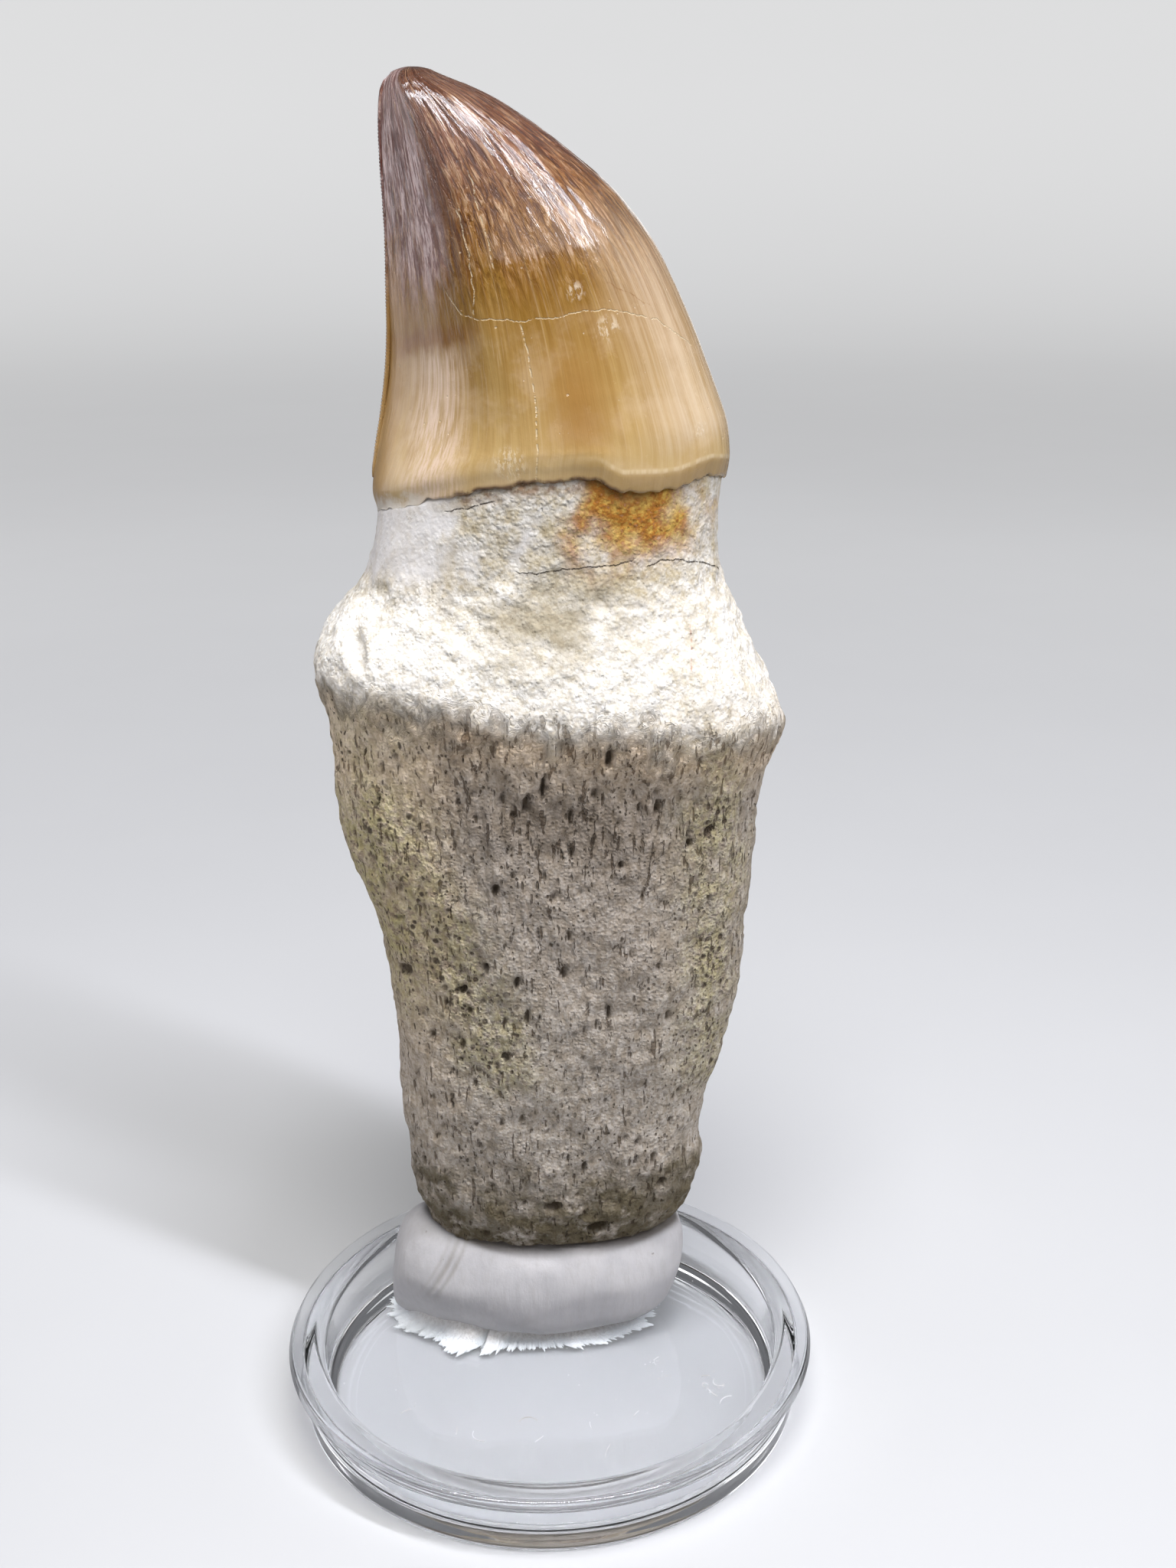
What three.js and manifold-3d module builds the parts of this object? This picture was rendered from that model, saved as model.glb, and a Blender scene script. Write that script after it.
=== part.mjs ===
// A fossil tooth of a large marine reptile: an enamelled crown on a swollen bony root, which stands in
// a lump of putty on a small clear dish. Millimetres, +Z up. The origin is the centre of the dish's
// underside. The tooth is seen broadside from -Y, with its serrated edge at -X.
import * as THREE from "three";
import Module from "manifold-3d";
import { mergeVertices } from "three/addons/utils/BufferGeometryUtils.js";

const wasm = await Module();
wasm.setup();

// Clearance between neighbouring pieces
const GAP = 0.3;

// The dish
const DISH_RADIUS = 25.4;
const DISH_HEIGHT = 6.5;
const FLANGE_HEIGHT = 1.05;
const WALL_RADIUS = 23.9;
const RECESS_RADIUS = 21.9;
const FLOOR_THICKNESS = 1.0;
const DISH_SIDES = 60;

// The tooth's middle plane stands behind the middle of the dish
const TOOTH_Y = 8.75;
const TOOTH_SIDES = 52;

// The root, from its blunt lower end up to the crown. Each row is one station across the tooth:
// left edge x and z, right edge x and z, reach to the front and to the back, squareness of the section.
const ROOT_STATIONS = [
  [-8.5, 12.5, 8.5, 12.2, 4.2, 4.2, 2.3],
  [-11.3, 13.3, 11.2, 12.9, 5.6, 5.6, 2.4],
  [-12.2, 14.9, 13.0, 14.3, 6.4, 6.4, 2.4],
  [-13.1, 17.3, 14.5, 16.8, 7.1, 7.0, 2.5],
  [-13.6, 21.0, 15.4, 20.6, 7.7, 7.6, 2.5],
  [-13.9, 25.5, 15.0, 24.4, 8.3, 8.2, 2.5],
  [-14.1, 30.0, 16.0, 29.5, 9.0, 8.9, 2.5],
  [-14.4, 36.0, 17.9, 36.0, 9.9, 9.8, 2.5],
  [-14.9, 42.5, 18.9, 42.5, 10.6, 10.5, 2.5],
  [-16.0, 48.7, 19.5, 48.5, 11.1, 11.0, 2.5],
  [-17.8, 54.0, 19.9, 54.0, 11.4, 11.4, 2.5],
  [-18.6, 59.5, 20.3, 58.7, 11.7, 11.7, 2.5],
  [-18.8, 63.5, 20.65, 61.2, 12.2, 12.1, 2.5],
  [-19.05, 66.8, 21.5, 63.3, 13.1, 12.7, 2.5],
  [-19.75, 69.6, 22.2, 65.6, 13.7, 13.2, 2.45],
  [-20.05, 72.0, 21.5, 68.0, 13.6, 13.1, 2.4],
  [-19.2, 74.5, 20.3, 70.4, 13.2, 12.6, 2.35],
  [-17.35, 77.0, 19.0, 73.5, 12.3, 11.8, 2.3],
  [-15.35, 79.2, 17.4, 77.0, 11.3, 10.8, 2.25],
  [-14.6, 81.1, 16.3, 80.3, 10.7, 10.2, 2.2],
  [-14.1, 83.1, 16.05, 84.0, 10.6, 10.1, 2.15],
];

// The crown, from the enamel's lower margin up to the last station under the tip
const CROWN_STATIONS = [
  [-13.8, 85.3, 16.35, 87.9, 10.8, 10.3, 2.1],
  [-13.95, 87.3, 16.75, 90.3, 11.0, 10.5, 2.1],
  [-13.4, 90.4, 16.5, 92.6, 10.9, 10.4, 2.1],
  [-12.6, 94.5, 15.0, 96.7, 10.2, 9.8, 2.1],
  [-12.0, 99.0, 13.1, 101.5, 9.3, 9.0, 2.1],
  [-11.8, 104.0, 10.4, 107.0, 8.3, 8.0, 2.1],
  [-11.7, 108.3, 7.2, 111.3, 7.2, 7.0, 2.1],
  [-11.8, 112.6, 3.7, 114.4, 6.0, 5.8, 2.1],
  [-11.85, 116.0, 0.2, 117.0, 4.7, 4.6, 2.05],
  [-11.75, 118.6, -3.6, 119.3, 3.3, 3.2, 2.0],
  [-11.4, 120.2, -6.8, 120.6, 1.9, 1.9, 2.0],
  [-10.8, 121.0, -8.0, 121.1, 1.1, 1.1, 2.0],
];

// Stretches of all the stations, root and crown, that also get a ring half way between two rows
const HALF_STATIONS = [[5, 11], [23, 29]];

// The two ends, a pole each
const ROOT_END = new THREE.Vector3(-0.4, TOOTH_Y, 12.2);
const CROWN_TIP = new THREE.Vector3(-9.4, TOOTH_Y, 121.4);

// The enamel stands a little proud of the bone at its margin, and its margin arches up on both faces
const ENAMEL_THICKNESS = 0.25;
const ENAMEL_EDGE = 0.12;
const MARGIN_ARCH = 2.9;
const MARGIN_DIP = 1.3;
const MARGIN_REACH = 4.2;
const MARGIN_Z = 86.6;

// The shelf's lip stands higher on the faces than at the right edge, and highest at the left
const SHELF_Z = 68.5;
const SHELF_REACH = 6;
const SHELF_LIFT = 1.2;
const SHELF_LIFT_RIGHT = 1.8;
const SHELF_LIFT_LEFT = 1.4;

// The crown's flat face beside the serrated edge, as a chord in units of the half section
const FACET_START = 0.07;
const FACET_SLOPE = 1.62;
const FACET_BLEND = 0.1;
const FACET_LOW_Z = 81;
const FACET_HIGH_Z = 99;

// The bone's low swellings fade out between these heights, at the root's end and at the neck
const SWELL_START_Z = [12, 16];
const SWELL_END_Z = [80, 86];

// Open pores and hollows in the root: x, z, width, height and depth of each
const PORES = [
  [5.9, 66.2, 0.8, 2.2, 0.8],
  [0.2, 63.5, 0.8, 2.4, 0.8],
  [-1.3, 62.0, 0.8, 2.6, 0.8],
  [10.2, 61.1, 1.3, 2.0, 0.9],
  [2.5, 60.5, 0.8, 1.8, 0.8],
  [14.9, 57.8, 0.8, 1.1, 0.8],
  [13.2, 57.1, 0.9, 1.1, 0.8],
  [7.0, 55.8, 1.2, 1.2, 0.7],
  [-4.3, 53.4, 1.0, 1.8, 0.9],
  [-5.2, 45.6, 0.9, 1.3, 0.8],
  [1.8, 45.1, 0.9, 1.0, 0.8],
  [-2.4, 44.3, 0.8, 1.9, 0.8],
  [-12.9, 43.8, 1.8, 1.5, 0.7],
  [-7.5, 43.1, 1.5, 1.2, 0.7],
  [5.8, 40.5, 0.7, 2.2, 0.8],
  [-1.7, 40.6, 0.7, 1.8, 0.7],
  [-3.7, 36.2, 0.9, 0.9, 0.7],
  [11.0, 20.3, 1.0, 1.6, 0.9],
  [0.4, 18.6, 2.0, 1.1, 0.8],
  [4.7, 15.4, 2.2, 2.0, 1.5],
];
const SHELF_NOTCH = new THREE.Vector3(-15.2, 0.3, 74.9);
const SHELF_NOTCH_SIZE = new THREE.Vector3(1.3, 1.6, 2.6);
const PORE_SIDES = 6;
const PORE_ROWS = 4;

// The putty: z, left and right edge, near and far edge, from the smear on the dish up to its crest
const PUTTY_STATIONS = [
  [1.75, -15.85, 10.6, 2.95, 15.3],
  [2.7, -16.0, 11.5, 2.2, 16.0],
  [4.6, -16.1, 12.6, 1.6, 16.6],
  [7.3, -15.8, 13.4, 1.4, 16.9],
  [10.0, -15.4, 13.55, 1.8, 16.2],
  [12.0, -14.8, 13.3, 2.8, 15.0],
  [13.3, -13.9, 12.5, 4.0, 13.4],
  [14.3, -12.6, 11.2, 5.4, 11.8],
  [14.8, -10.2, 8.4, 6.6, 10.6],
];
const PUTTY_CREST = new THREE.Vector3(-1, 8.7, 15);
const PUTTY_SMEAR_OUT = 0.5;
const PUTTY_SMEAR_HEIGHT = 0.2;
const PUTTY_SQUARENESS = 2.5;
const PUTTY_SIDES = 40;

function smoothStep(low, high, value) {
  const t = Math.min(Math.max((value - low) / (high - low), 0), 1);
  return t * t * (3 - 2 * t);
}

// The smaller of two values, with a rounded change from one to the other
function smoothMin(a, b, blend) {
  const h = Math.max(blend - Math.abs(a - b), 0) / blend;
  return Math.min(a, b) - h * h * blend * 0.25;
}

// One station between the rows of a table, each column by a Catmull-Rom curve through the rows
function stationAt(rows, position) {
  const last = rows.length - 1;
  const i = Math.min(Math.max(Math.floor(position), 0), last - 1);
  const t = position - i;
  return rows[i].map((b, column) => {
    const c = rows[i + 1][column];
    const a = i > 0 ? rows[i - 1][column] : 2 * b - c;
    const d = i + 2 <= last ? rows[i + 2][column] : 2 * c - b;
    return b + 0.5 * t * (c - a + t * (2 * a - 5 * b + 4 * c - d + t * (3 * (b - c) + d - a)));
  });
}

// A rounded box's section at an angle: 2 is an ellipse, more is squarer
function roundedBox(angle, squareness) {
  const c = Math.cos(angle);
  const s = Math.sin(angle);
  const power = 2 / squareness;
  return [Math.sign(c) * Math.abs(c) ** power, Math.sign(s) * Math.abs(s) ** power];
}

// A closed solid from rings that run the same way round, with a point at each end
function solidFromRings(rings, firstPoint, lastPoint) {
  const sides = rings[0].length;
  const points = [firstPoint, ...rings.flat(), lastPoint];
  const lastIndex = points.length - 1;
  const faces = [];
  for (let j = 0; j < sides; j++) {
    const next = (j + 1) % sides;
    faces.push(0, 1 + next, 1 + j);
    for (let i = 0; i < rings.length - 1; i++) {
      const low = 1 + i * sides;
      const high = low + sides;
      faces.push(low + j, low + next, high + next);
      faces.push(low + j, high + next, high + j);
    }
    const top = 1 + (rings.length - 1) * sides;
    faces.push(top + j, top + next, lastIndex);
  }
  const geometry = new THREE.BufferGeometry();
  geometry.setAttribute("position", new THREE.Float32BufferAttribute(points.flatMap((p) => [p.x, p.y, p.z]), 3));
  geometry.setIndex(faces);
  geometry.computeVertexNormals();
  return geometry;
}

function toManifold(geometry) {
  const plain = geometry.clone();
  plain.deleteAttribute("normal");
  plain.deleteAttribute("uv");
  const merged = mergeVertices(plain, 1e-4);
  return new wasm.Manifold(new wasm.Mesh({
    numProp: 3,
    vertProperties: new Float32Array(merged.attributes.position.array),
    triVerts: new Uint32Array(merged.index.array),
  }));
}

function fromManifold(solid) {
  const mesh = solid.getMesh();
  const geometry = new THREE.BufferGeometry();
  geometry.setAttribute("position", new THREE.BufferAttribute(new Float32Array(mesh.vertProperties), 3));
  geometry.setIndex(new THREE.BufferAttribute(new Uint32Array(mesh.triVerts), 1));
  geometry.computeVertexNormals();
  return geometry;
}

// How far the enamel's margin is lifted at a place on the section: most on the front and back faces,
// with a drop to the right of the middle of the front
function marginLift(across, along, onFront) {
  const lift = MARGIN_ARCH * Math.abs(along) ** 1.4;
  const dip = smoothStep(0.2, 0.4, across) * (1 - smoothStep(0.6, 0.9, across));
  return lift - (onFront ? MARGIN_DIP * dip : 0);
}

// How far the shelf's lip is lifted at a place on the section
function shelfLift(across, along) {
  const left = SHELF_LIFT_LEFT * (1 - smoothStep(-0.7, -0.35, across));
  return (SHELF_LIFT + SHELF_LIFT_RIGHT * Math.max(across, 0) + left) * Math.abs(along) ** 1.3;
}

// Low swellings all over the bone: a wave about 11 mm long and a weaker one about 5 mm long
function boneSwell(x, y, z) {
  return 0.16 * Math.sin(0.55 * x + 0.31 * z + 1.3) * Math.sin(0.47 * y - 0.23 * z)
    + 0.09 * Math.sin(1.1 * x - 0.7 * z) * Math.sin(0.9 * y + 0.6 * z + 2.1);
}

// One ring round the tooth. Enamel is 0 on the bone and 1 on the crown.
function toothRing(station, enamel, grow) {
  const [leftX, leftZ, rightX, rightZ, front, back, squareness] = station;
  const extra = ENAMEL_THICKNESS * enamel + grow;
  const middle = (leftX + rightX) / 2;
  const half = (rightX - leftX) / 2;
  const ring = [];
  for (let j = 0; j < TOOTH_SIDES; j++) {
    const angle = (2 * Math.PI * j) / TOOTH_SIDES;
    let [across, along] = roundedBox(angle, squareness);
    const baseZ = leftZ + (rightZ - leftZ) * (across + 1) / 2;
    const facet = smoothStep(FACET_LOW_Z, FACET_HIGH_Z, baseZ);
    const chord = FACET_START + FACET_SLOPE * (across + 1);
    const cut = smoothMin(Math.abs(along), chord, FACET_BLEND);
    along = Math.sign(along) * Math.max(Math.abs(along) * (1 - facet) + cut * facet, 0);
    const onFront = along < 0;
    const x = middle + across * (half + extra);
    const y = TOOTH_Y + along * ((onFront ? front : back) + extra);
    const nearMargin = Math.exp(-(((baseZ - MARGIN_Z) / MARGIN_REACH) ** 2));
    const nearShelf = Math.exp(-(((baseZ - SHELF_Z) / SHELF_REACH) ** 2));
    const z = baseZ + nearMargin * marginLift(across, along, onFront) + nearShelf * shelfLift(across, along);
    const swell = boneSwell(x, y, z) * smoothStep(...SWELL_START_Z, z) * (1 - smoothStep(...SWELL_END_Z, z));
    ring.push(new THREE.Vector3(x + swell * across, y + swell * along, z));
  }
  return ring;
}

// The whole tooth, or with grow the space it needs around it
function toothShape(grow) {
  const rows = [...ROOT_STATIONS, ...CROWN_STATIONS];
  const margin = ROOT_STATIONS.length;
  const rings = [];
  for (let position = 0; position <= rows.length - 1; position += 0.5) {
    const betweenRows = position % 1 !== 0;
    if (betweenRows && !HALF_STATIONS.some(([low, high]) => position > low && position < high)) {
      continue;
    }
    if (position === margin) {
      rings.push(toothRing(stationAt(rows, position - ENAMEL_EDGE), 0, grow));
    }
    rings.push(toothRing(stationAt(rows, position), position >= margin ? 1 : 0, grow));
  }
  const end = ROOT_END.clone().setZ(ROOT_END.z - grow);
  const tip = CROWN_TIP.clone().setZ(CROWN_TIP.z + grow);
  return solidFromRings(rings, end, tip);
}

// An egg-shaped cutter for a pore, with its middle on the tooth's front surface
function poreCutter(shape, x, z, width, height, depth) {
  const from = new THREE.Vector3(x, -100, z);
  const hit = new THREE.Raycaster(from, new THREE.Vector3(0, 1, 0)).intersectObject(shape)[0];
  const egg = new THREE.SphereGeometry(1, PORE_SIDES, PORE_ROWS);
  egg.scale(width / 2, depth, height / 2);
  egg.translate(hit.point.x, hit.point.y, hit.point.z);
  return toManifold(egg);
}

function buildTooth() {
  const plain = toothShape(0);
  const shape = new THREE.Mesh(plain);
  let solid = toManifold(plain);
  for (const [x, z, width, height, depth] of PORES) {
    solid = solid.subtract(poreCutter(shape, x, z, width, height, depth));
  }
  const notch = new THREE.SphereGeometry(0.5, PORE_SIDES, PORE_ROWS);
  notch.scale(SHELF_NOTCH_SIZE.x, SHELF_NOTCH_SIZE.y, SHELF_NOTCH_SIZE.z);
  notch.translate(SHELF_NOTCH.x, SHELF_NOTCH.y, SHELF_NOTCH.z);
  return fromManifold(solid.subtract(toManifold(notch)));
}

// One level ring round the putty, pushed out by a distance
function puttyRing([z, left, right, near, far], out) {
  const ring = [];
  for (let j = 0; j < PUTTY_SIDES; j++) {
    const [across, along] = roundedBox((2 * Math.PI * j) / PUTTY_SIDES, PUTTY_SQUARENESS);
    const x = (left + right) / 2 + across * ((right - left) / 2 + out);
    const y = (near + far) / 2 + along * ((far - near) / 2 + out);
    ring.push(new THREE.Vector3(x, y, z));
  }
  return ring;
}

// A rolled lump that stands on a thin smear, with the root's end pressed into its top
function buildPutty() {
  const base = PUTTY_STATIONS[0];
  const bottomZ = FLOOR_THICKNESS + GAP;
  const smearZ = bottomZ + PUTTY_SMEAR_HEIGHT;
  const rings = [
    puttyRing([bottomZ, ...base.slice(1)], PUTTY_SMEAR_OUT),
    puttyRing([smearZ, ...base.slice(1)], PUTTY_SMEAR_OUT),
  ];
  for (const station of PUTTY_STATIONS) {
    rings.push(puttyRing(station, 0));
  }
  const lump = solidFromRings(rings, PUTTY_CREST.clone().setZ(bottomZ), PUTTY_CREST);
  const socket = toManifold(toothShape(GAP));
  return fromManifold(toManifold(lump).subtract(socket));
}

// The points of a turn about a centre, as radius and height
function roundCorner(centreR, centreZ, radius, startDegrees, turnDegrees, steps) {
  const points = [];
  for (let k = 0; k <= steps; k++) {
    const angle = THREE.MathUtils.degToRad(startDegrees + (turnDegrees * k) / steps);
    points.push(new THREE.Vector2(centreR + radius * Math.cos(angle), centreZ + radius * Math.sin(angle)));
  }
  return points;
}

// A shallow round dish with a flange outside its rim
function buildDish() {
  const footRound = 0.5;
  const flangeRound = 0.4;
  const rimRound = 0.45;
  const rimInset = 0.2;
  const lipRound = 1.1;
  const floorRound = 1.3;
  const flangeZ = DISH_HEIGHT - FLANGE_HEIGHT;
  const profile = [
    new THREE.Vector2(0, 0),
    ...roundCorner(WALL_RADIUS - footRound, footRound, footRound, -90, 90, 2),
    new THREE.Vector2(WALL_RADIUS, flangeZ),
    ...roundCorner(DISH_RADIUS - flangeRound, flangeZ + flangeRound, flangeRound, -90, 90, 2),
    ...roundCorner(DISH_RADIUS - rimInset - rimRound, DISH_HEIGHT - rimRound, rimRound, 0, 90, 2),
    ...roundCorner(RECESS_RADIUS + lipRound, DISH_HEIGHT - lipRound, lipRound, 90, 90, 3),
    ...roundCorner(RECESS_RADIUS - floorRound, FLOOR_THICKNESS + floorRound, floorRound, 0, -90, 3),
    new THREE.Vector2(0, FLOOR_THICKNESS),
  ];
  const geometry = new THREE.LatheGeometry(profile, DISH_SIDES);
  geometry.rotateX(Math.PI / 2);
  return fromManifold(toManifold(geometry));
}

function piece(name, geometry, color, roughness) {
  const mesh = new THREE.Mesh(geometry, new THREE.MeshStandardMaterial({ color, roughness, metalness: 0 }));
  mesh.name = name;
  return mesh;
}

const group = new THREE.Group();
group.name = "fossil_tooth_on_dish";
group.add(piece("tooth", buildTooth(), 0xc2ae8c, 0.6));
group.add(piece("putty", buildPutty(), 0xe8e3d8, 0.85));
group.add(piece("dish", buildDish(), 0xdfe6ea, 0.1));

export default group;
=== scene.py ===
"""The looks of a fossil reptile tooth: a glossy enamelled crown on a pitted bony root, which stands in a
lump of putty on a small clear dish.

Every table is in millimetres in the frame's own axes: +Z is up, the tooth is seen broadside from -Y, and
the origin is the centre of the dish's underside. Meshes are made in metres. A surface is a grid of rings
worked out as whole arrays, with relief added along its normals.
"""

import math

import bpy
import numpy as np
from mathutils import Matrix, Vector


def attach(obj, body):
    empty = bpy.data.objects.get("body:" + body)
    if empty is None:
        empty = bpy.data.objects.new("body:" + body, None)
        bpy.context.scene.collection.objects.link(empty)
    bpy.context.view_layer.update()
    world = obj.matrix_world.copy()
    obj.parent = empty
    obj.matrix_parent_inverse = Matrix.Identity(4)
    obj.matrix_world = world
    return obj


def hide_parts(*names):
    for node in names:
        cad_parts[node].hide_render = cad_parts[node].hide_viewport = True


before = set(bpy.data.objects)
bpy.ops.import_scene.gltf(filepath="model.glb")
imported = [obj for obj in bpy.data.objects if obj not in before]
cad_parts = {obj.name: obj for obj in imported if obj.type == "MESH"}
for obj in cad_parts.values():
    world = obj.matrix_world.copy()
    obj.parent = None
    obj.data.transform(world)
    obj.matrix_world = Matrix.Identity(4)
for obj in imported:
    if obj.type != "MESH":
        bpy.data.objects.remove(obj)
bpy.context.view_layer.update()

MM = 0.001

# The tooth's stations, root and crown, as in the solids: left edge x and z, right edge x and z, reach to
# the front and to the back, squareness of the section
ROOT_STATIONS = [
    [-8.5, 12.5, 8.5, 12.2, 4.2, 4.2, 2.3],
    [-11.3, 13.3, 11.2, 12.9, 5.6, 5.6, 2.4],
    [-12.2, 14.9, 13.0, 14.3, 6.4, 6.4, 2.4],
    [-13.1, 17.3, 14.5, 16.8, 7.1, 7.0, 2.5],
    [-13.6, 21.0, 15.4, 20.6, 7.7, 7.6, 2.5],
    [-13.9, 25.5, 15.0, 24.4, 8.3, 8.2, 2.5],
    [-14.1, 30.0, 16.0, 29.5, 9.0, 8.9, 2.5],
    [-14.4, 36.0, 17.9, 36.0, 9.9, 9.8, 2.5],
    [-14.9, 42.5, 18.9, 42.5, 10.6, 10.5, 2.5],
    [-16.0, 48.7, 19.5, 48.5, 11.1, 11.0, 2.5],
    [-17.8, 54.0, 19.9, 54.0, 11.4, 11.4, 2.5],
    [-18.6, 59.5, 20.3, 58.7, 11.7, 11.7, 2.5],
    [-18.8, 63.5, 20.65, 61.2, 12.2, 12.1, 2.5],
    [-19.05, 66.8, 21.5, 63.3, 13.1, 12.7, 2.5],
    [-19.75, 69.6, 22.2, 65.6, 13.7, 13.2, 2.45],
    [-20.05, 72.0, 21.5, 68.0, 13.6, 13.1, 2.4],
    [-19.2, 74.5, 20.3, 70.4, 13.2, 12.6, 2.35],
    [-17.35, 77.0, 19.0, 73.5, 12.3, 11.8, 2.3],
    [-15.35, 79.2, 17.4, 77.0, 11.3, 10.8, 2.25],
    [-14.6, 81.1, 16.3, 80.3, 10.7, 10.2, 2.2],
    [-14.1, 83.1, 16.05, 84.0, 10.6, 10.1, 2.15],
]
CROWN_STATIONS = [
    [-13.8, 85.3, 16.35, 87.9, 10.8, 10.3, 2.1],
    [-13.95, 87.3, 16.75, 90.3, 11.0, 10.5, 2.1],
    [-13.4, 90.4, 16.5, 92.6, 10.9, 10.4, 2.1],
    [-12.6, 94.5, 15.0, 96.7, 10.2, 9.8, 2.1],
    [-12.0, 99.0, 13.1, 101.5, 9.3, 9.0, 2.1],
    [-11.8, 104.0, 10.4, 107.0, 8.3, 8.0, 2.1],
    [-11.7, 108.3, 7.2, 111.3, 7.2, 7.0, 2.1],
    [-11.8, 112.6, 3.7, 114.4, 6.0, 5.8, 2.1],
    [-11.85, 116.0, 0.2, 117.0, 4.7, 4.6, 2.05],
    [-11.75, 118.6, -3.6, 119.3, 3.3, 3.2, 2.0],
    [-11.4, 120.2, -6.8, 120.6, 1.9, 1.9, 2.0],
    [-10.8, 121.0, -8.0, 121.1, 1.1, 1.1, 2.0],
]
STATIONS = np.array(ROOT_STATIONS + CROWN_STATIONS)
MARGIN = len(ROOT_STATIONS)
LAST = len(STATIONS) - 1
TOOTH_Y = 8.75
ROOT_END = (-0.4, TOOTH_Y, 12.2)
CROWN_TIP = (-9.4, TOOTH_Y, 121.4)

# Heights: the enamel's margin at mid-width, the crown's foot and how far it rises at its left edge, and
# how fast the shelf slants down to the right
MARGIN_Z = 86.6
CROWN_FOOT = 85.3
CROWN_RISE = 35.7
SHELF_SLANT = 0.12

# The enamel's thickness over the bone
ENAMEL = 0.25

# Open pores in the front of the root: x, z, width, height and depth
PORES = [
    (5.9, 66.2, 0.7, 2.2, 0.7), (0.2, 63.5, 0.7, 2.4, 0.7), (-1.3, 62.0, 0.7, 2.6, 0.7),
    (10.2, 61.1, 1.1, 2.0, 0.8), (2.5, 60.5, 0.7, 1.8, 0.7), (14.9, 57.8, 0.8, 1.1, 0.7),
    (13.2, 57.1, 0.9, 1.1, 0.7), (7.0, 55.8, 1.0, 1.2, 0.6), (-4.3, 53.4, 0.9, 1.8, 0.8),
    (-5.2, 45.6, 0.9, 1.3, 0.7), (1.8, 45.1, 0.9, 1.0, 0.7), (-2.4, 44.3, 0.7, 1.9, 0.7),
    (-12.9, 43.8, 1.8, 1.5, 0.6), (-7.5, 43.1, 1.4, 1.2, 0.6), (5.8, 40.5, 0.6, 2.2, 0.7),
    (-1.7, 40.6, 0.6, 1.8, 0.7), (-3.7, 36.2, 0.9, 0.9, 0.6), (11.0, 20.3, 1.0, 1.6, 0.8),
    (0.4, 18.6, 2.0, 1.1, 0.7), (4.7, 15.4, 2.2, 2.0, 1.3),
]

# The putty: z, left and right edge, near and far edge
PUTTY_STATIONS = np.array([
    [1.02, -14.7, 9.4, 5.4, 15.0],
    [1.75, -15.2, 10.1, 4.5, 15.2],
    [2.7, -15.9, 11.4, 2.9, 16.0],
    [4.6, -16.1, 12.6, 1.6, 16.6],
    [7.3, -15.8, 13.4, 1.4, 16.9],
    [10.0, -15.4, 13.55, 1.8, 16.2],
    [12.0, -14.8, 13.3, 2.8, 15.0],
    [13.3, -13.9, 12.5, 4.0, 13.4],
    [14.3, -12.6, 11.2, 5.4, 11.8],
    [14.8, -10.2, 8.4, 6.6, 10.6],
])
PUTTY_CREST = (-1.0, 8.7, 15.0)

# The ragged edge of the thin smear round the putty's foot, from its left end round the front and the back
SMEAR_EDGE = [
    (-16.4, 11.6), (-16.0, 8.9), (-14.5, 6.2), (-13.5, 5.6), (-12.2, 5.2), (-10.4, 3.3), (-9.0, 2.3),
    (-7.1, 2.2), (-6.9, 3.6), (-4.3, 3.2), (-1.5, 3.0), (1.6, 3.3), (4.0, 3.2), (7.4, 4.8), (9.6, 6.0),
    (9.9, 7.4), (10.9, 9.4), (10.6, 13.0), (7.0, 15.9), (0.0, 16.4), (-9.0, 16.2), (-14.6, 14.6),
]
SMEAR_MIDDLE = (-2.6, 9.3)

# The dish
DISH_RADIUS = 25.4
DISH_HEIGHT = 6.5
FLANGE_HEIGHT = 1.05
WALL_RADIUS = 23.9
RECESS_RADIUS = 21.9
FLOOR_THICKNESS = 1.0

# The camera, fitted to the dish's circles and the tooth's height in the photograph
CAMERA_PLACE = (0.0, -149.3, 116.85)
CAMERA_YAW = 1.6
CAMERA_PITCH = 20.0
CAMERA_ROLL = -0.5
CAMERA_LENS = 41.6
SENSOR = 36.0

# Where the lights face, and the run of a light that lies level
LIGHT_AIM = (0.0, TOOTH_Y, 85.0)
LEVEL = Vector((1.0, 0.0, 0.0))


def smooth_step(low, high, value):
    """Goes from 0 at low to 1 at high as 3t^2 - 2t^3."""
    t = np.clip((value - low) / (high - low), 0.0, 1.0)
    return t * t * (3.0 - 2.0 * t)


def band(low, full, fading, gone, value):
    """Rises smoothly from 0 at low to 1 at full, and falls from fading to 0 again at gone."""
    return smooth_step(low, full, value) * (1.0 - smooth_step(fading, gone, value))


def bell(value, middle, reach):
    """A bell curve: e to the power of minus ((value - middle) / reach) squared."""
    return np.exp(-(((value - middle) / reach) ** 2))


def lattice(i, j, k, seed):
    """A fixed number from 0 to 1 for each whole-number cell: the cell's numbers times large primes, mixed
    by shifts."""
    n = (i * 374761393 + j * 668265263 + k * 1103515245 + seed * 974634777) & 0xFFFFFFFF
    n = ((n ^ (n >> 13)) * 1274126177) & 0xFFFFFFFF
    n = ((n ^ (n >> 15)) * 2246822519) & 0xFFFFFFFF
    return ((n ^ (n >> 16)) & 0xFFFFFF) / float(0xFFFFFF)


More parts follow.
